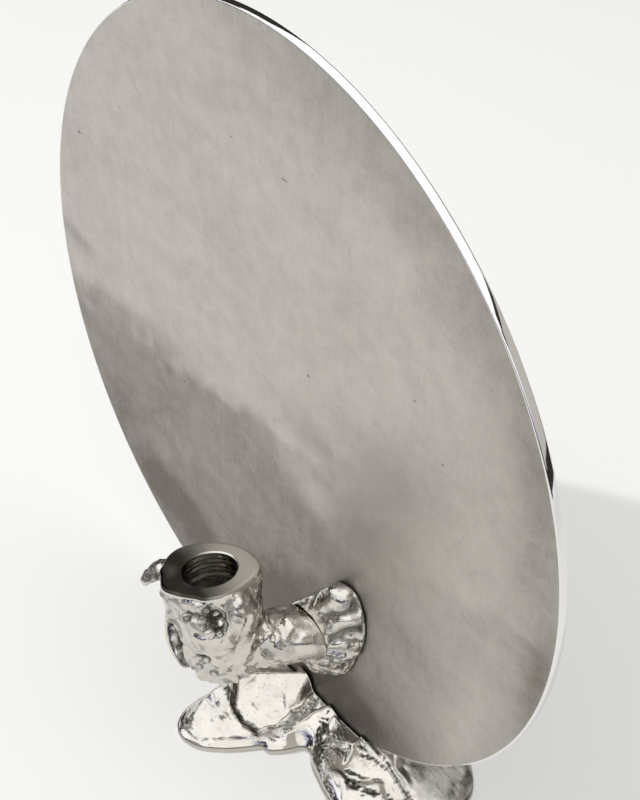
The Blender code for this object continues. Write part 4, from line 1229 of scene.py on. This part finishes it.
def buttress_rows(sizes):
    """The foot's rear buttress: an upright column that flares into the foot.

    Its half width and depth narrow with height and close as a quarter ellipse, and a flare of the
    height still to go, to the power 2.2, joins it to the foot. Its front is flat behind the disc,
    and round spot faces are sunk for the washers.
    """
    around = circle(220)
    low, high, cap_start = 3.0, 95.0, 0.86
    foot_y, lean, foot_half, narrowing = 25.3, 15.0, 17.0, 4.0
    flare_out, flare_up = 12.0, 18.0
    rise = np.sin(np.linspace(0.0, math.pi / 2, 26))[1:]
    share = np.concatenate([np.linspace(0.0, cap_start, 110),
                            cap_start + (1.0 - cap_start) * rise])[:, None]
    z = low + (high - low) * share
    (upper_x, _), (lower_x, _) = SCREW_PLACES
    x = lower_x + (upper_x - lower_x) * share
    y = foot_y - lean * np.sin(share * math.pi / 2)
    over = np.clip(share - cap_start, 0.0, 1.0) / (1.0 - cap_start)
    half = (foot_half - narrowing * np.clip(share * 1.6, 0.0, 1.0)) \
        * np.sqrt(np.clip(1.0 - over ** 2, 0.0, 1.0))
    flare = flare_out * np.clip(1.0 - (z - low) / flare_up, 0.0, 1.0) ** 2.2
    wide, deep = half + flare, half * (1.15 - 0.25 * share) + flare
    grid = np.stack(np.broadcast_arrays(x + wide * np.cos(around), y + deep * np.sin(around), z), -1)
    normal = grid_normals(grid)
    at = drifted(grid, 26.0, 2.5, 311)
    fold = waves(at, 24.0, 321)
    move = 0.8 * (np.abs(fold) - 0.45) + 0.2 * waves(at, 8.0, 331)
    grid = grid + normal * (move * sizes.relief * smooth((z - low) / 6.0))[..., None]
    # Fold lines and the rings round the spot faces are darkened, as oxide and painted shade
    oxide_and_shade = line_mark(fold, 0.06) * 0.4
    for sx, sz in SCREW_PLACES:
        distance = np.hypot(grid[..., 0] - sx, grid[..., 2] - sz)
        back = grid[..., 1] > WASHER_FACE
        sunk = smooth((7.2 - distance) / 0.9) * back
        grid[..., 1] += (WASHER_FACE - grid[..., 1]) * sunk
        oxide_and_shade = np.maximum(oxide_and_shade, line_mark(distance - 6.6, 0.6) * back)
    grid[..., 1] = np.maximum(grid[..., 1], mm(sizes.disc_thickness) + DISC_GAP)
    return grid, {"oxide_and_shade": oxide_and_shade, "clean": np.zeros(oxide_and_shade.shape)}


def tube_rows(line, radii, across, flat, dish=0.0):
    """A profile carried along a smooth line: an ellipse, dished by the square of its width.

    The line is the cubic that starts and ends at the outer two of four points and sets out and
    arrives along the inner two. The radii are spread evenly along it. Both ends close as quarter
    circles.
    """
    columns, steps, cap, least = 64, 70, 0.12, 0.02
    t = np.linspace(0.0, 1.0, steps)
    weights = ((1 - t) ** 3, 3 * (1 - t) ** 2 * t, 3 * (1 - t) * t ** 2, t ** 3)
    place = sum(w[:, None] * np.array(point, float) for w, point in zip(weights, line))
    head = unit(np.gradient(place, axis=0))
    one = unit(across - head * (head @ across)[:, None])
    two = np.cross(head, one)
    end = np.minimum(np.minimum(t, 1.0 - t) / cap, 1.0)
    radius = np.interp(t, np.linspace(0.0, 1.0, len(radii)), radii)
    radius = np.maximum(radius * np.sqrt(1.0 - (1.0 - end) ** 2), least)[:, None]
    u = np.cos(circle(columns)) * radius
    v = np.sin(circle(columns)) * radius * flat + dish * u ** 2
    return place[:, None] + one[:, None] * u[..., None] + two[:, None] * v[..., None]


# Operators


class HOLDER_OT_disc(bpy.types.Operator):
    """Build the satin reflector disc with its polished edge"""
    bl_idname = "holder.disc"
    bl_label = "Reflector disc"

    def execute(self, context):
        scene = context.scene
        place_piece(skin("reflector_plate", *disc_rows(scene.holder_sizes)),
                    satin_disc(scene.holder_finish), "satin_disc", "reflector_disc")
        return {"FINISHED"}


class HOLDER_OT_collar(bpy.types.Operator):
    """Build the lumpy collar between the disc and the arm"""
    bl_idname = "holder.collar"
    bl_label = "Arm collar"

    def execute(self, context):
        scene = context.scene
        place_piece(skin("collar_casting", *collar_rows(scene.holder_sizes)),
                    polished_casting(scene.holder_finish), "polished_casting", "arm_collar")
        return {"FINISHED"}


class HOLDER_OT_cup(bpy.types.Operator):
    """Build the candle cup with its arm, its horn and its hollow drip"""
    bl_idname = "holder.cup"
    bl_label = "Candle cup"

    def execute(self, context):
        sizes, material = context.scene.holder_sizes, polished_casting(context.scene.holder_finish)
        for name, shape, nodes in (("cup_casting", cup_rows(sizes), ("candle_cup",)),
                                   ("rim_horn", horn_rows(), ()),
                                   ("drip_shell", shell_rows(sizes), ())):
            place_piece(skin(name, *shape), material, "polished_casting", *nodes)
        return {"FINISHED"}


class HOLDER_OT_foot(bpy.types.Operator):
    """Build the lobed foot and its rear buttress"""
    bl_idname = "holder.foot"
    bl_label = "Foot"

    def execute(self, context):
        sizes, material = context.scene.holder_sizes, polished_casting(context.scene.holder_finish)
        for name, shape, nodes in (("foot_puddle", foot_rows(sizes), ("foot_casting",)),
                                   ("rear_buttress", buttress_rows(sizes), ())):
            place_piece(skin(name, *shape), material, "polished_casting", *nodes)
        return {"FINISHED"}


class HOLDER_OT_fasteners(bpy.types.Operator):
    """Give the screws and washers their steel finish"""
    bl_idname = "holder.fasteners"
    bl_label = "Screws and washers"

    def execute(self, context):
        material = fastener_steel(context.scene.holder_finish)
        for name in ("upper_screw", "lower_screw", "upper_washer", "lower_washer"):
            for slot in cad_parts[name].material_slots:
                slot.material = material
        return {"FINISHED"}


def card(name, headings, heights, radii, colour):
    """A card that only metal sees: a strip between two rings of one heading range.

    The rings may differ in height, which makes a curved wall, or in radius, which makes it flat.
    """
    steps = 40
    turn = np.radians(np.linspace(*headings, steps))
    points = np.concatenate([
        np.column_stack([np.cos(turn) * radius, np.sin(turn) * radius, np.full(steps, height)])
        for radius, height in zip(radii, heights)])
    mesh = bpy.data.meshes.new(name)
    mesh.from_pydata(points.tolist(), [],
                     [(i, i + 1, i + steps + 1, i + steps) for i in range(steps - 1)])
    mesh.materials.append(glow(name, colour))
    obj = bpy.data.objects.new(name, mesh)
    bpy.context.scene.collection.objects.link(obj)
    obj.visible_camera = False
    obj.visible_diffuse = False
    obj.visible_shadow = False
    obj.visible_transmission = False


def lamp(name, size, power, place, target, colour=(1.0, 1.0, 1.0)):
    """A square soft lamp at a place, facing a target."""
    light = bpy.data.lights.new(name, "AREA")
    light.size = size
    light.energy = power
    light.color = colour
    obj = bpy.data.objects.new(name, light)
    bpy.context.scene.collection.objects.link(obj)
    way = Vector(target) - Vector(place)
    obj.matrix_world = Matrix.Translation(place) @ way.to_track_quat("-Z", "Y").to_matrix().to_4x4()
    return obj


def build_floor(stage):
    """A flat square of paper under the holder."""
    half = stage.floor_size
    mesh = bpy.data.meshes.new("floor")
    mesh.from_pydata([(-half, -half, 0), (half, -half, 0), (half, half, 0), (-half, half, 0)],
                     [], [(0, 1, 2, 3)])
    mesh.materials.append(paper("floor_paper", stage.floor))
    floor = bpy.data.objects.new("floor", mesh)
    bpy.context.scene.collection.objects.link(floor)


def build_lamps(stage):
    """The soft box overhead and the small key lamp, neither of which the metal mirrors."""
    size = stage.softbox_size
    box = lamp("soft_box", size, stage.softbox * math.pi * size * size, SOFTBOX_PLACE,
               SOFTBOX_TARGET, (1.0, 0.985, 0.955))
    box.visible_glossy = False
    place = unit(np.array(KEY_WAY)) * KEY_DISTANCE
    key = lamp("key_lamp", stage.key_size, stage.key_power, tuple(place), KEY_TARGET)
    key.visible_glossy = False


def build_world(stage):
    """A world that lights evenly, and shows as the floor's colour."""
    world = bpy.data.worlds.new("studio")
    tree = Tree(world, "ShaderNodeOutputWorld")
    light = tree.add("Background", {"Color": (1.0, 1.0, 1.0, 1.0), "Strength": stage.surround})
    shown = tree.add("Background", {"Color": (*stage.floor, 1.0), "Strength": 1.0})
    bpy.context.scene.world = tree.close(tree.add(
        "MixShader", {0: tree.seen(), 1: light.outputs[0], 2: shown.outputs[0]}))


def build_camera(stage):
    """The camera of the photograph, from its place and its two angles."""
    data = bpy.data.cameras.new("camera")
    data.sensor_fit = "HORIZONTAL"
    data.sensor_width = 36.0
    data.lens = stage.lens
    data.clip_start = 0.01
    camera = bpy.data.objects.new("camera", data)
    bpy.context.scene.collection.objects.link(camera)
    turn, tilt = stage.azimuth, stage.elevation
    up = Vector((0.0, 0.0, 1.0))
    right = Vector((math.cos(turn), math.sin(turn), 0.0))
    level = Vector((-math.sin(turn), math.cos(turn), 0.0))
    ahead = level * math.cos(tilt) - up * math.sin(tilt)
    above = level * math.sin(tilt) + up * math.cos(tilt)
    camera.matrix_world = Matrix.Translation(stage.place) @ Matrix(
        (right, above, -ahead)).transposed().to_4x4()
    bpy.context.scene.camera = camera


class HOLDER_OT_stage(bpy.types.Operator):
    """Build the floor, the soft light, the cards that the metal mirrors, and the camera"""
    bl_idname = "holder.stage"
    bl_label = "Studio and camera"

    def execute(self, context):
        stage = context.scene.holder_stage
        build_floor(stage)
        for name, values in CARDS.items():
            card(name, *values)
        build_lamps(stage)
        build_world(stage)
        build_camera(stage)
        context.scene.view_settings.view_transform = "Standard"
        return {"FINISHED"}


OPERATORS = (HOLDER_OT_disc, HOLDER_OT_collar, HOLDER_OT_cup, HOLDER_OT_foot, HOLDER_OT_fasteners,
             HOLDER_OT_stage)


class HOLDER_PT_panel(bpy.types.Panel):
    """The holder's pieces and sizes in the sidebar"""
    bl_idname = "HOLDER_PT_panel"
    bl_label = "Drip candle holder"
    bl_space_type = "VIEW_3D"
    bl_region_type = "UI"
    bl_category = "Holder"

    def draw(self, context):
        column = self.layout.column()
        for operator in OPERATORS:
            column.operator(operator.bl_idname)
        for group in ("holder_sizes", "holder_finish", "holder_stage"):
            settings = getattr(context.scene, group)
            box = self.layout.box()
            for key in settings.__annotations__:
                box.prop(settings, key)


GROUPS = {"holder_sizes": HolderSizes, "holder_finish": HolderFinish, "holder_stage": HolderStage}


def register():
    for kind in (*GROUPS.values(), *OPERATORS, HOLDER_PT_panel):
        bpy.utils.register_class(kind)
    for name, kind in GROUPS.items():
        setattr(bpy.types.Scene, name, PointerProperty(type=kind))


def unregister():
    for name in GROUPS:
        delattr(bpy.types.Scene, name)
    for kind in reversed((*GROUPS.values(), *OPERATORS, HOLDER_PT_panel)):
        bpy.utils.unregister_class(kind)


def main():
    register()
    bpy.ops.holder.stage()
    bpy.ops.holder.disc()
    bpy.ops.holder.collar()
    bpy.ops.holder.cup()
    bpy.ops.holder.foot()
    bpy.ops.holder.fasteners()


if __name__ == "__main__":
    main()
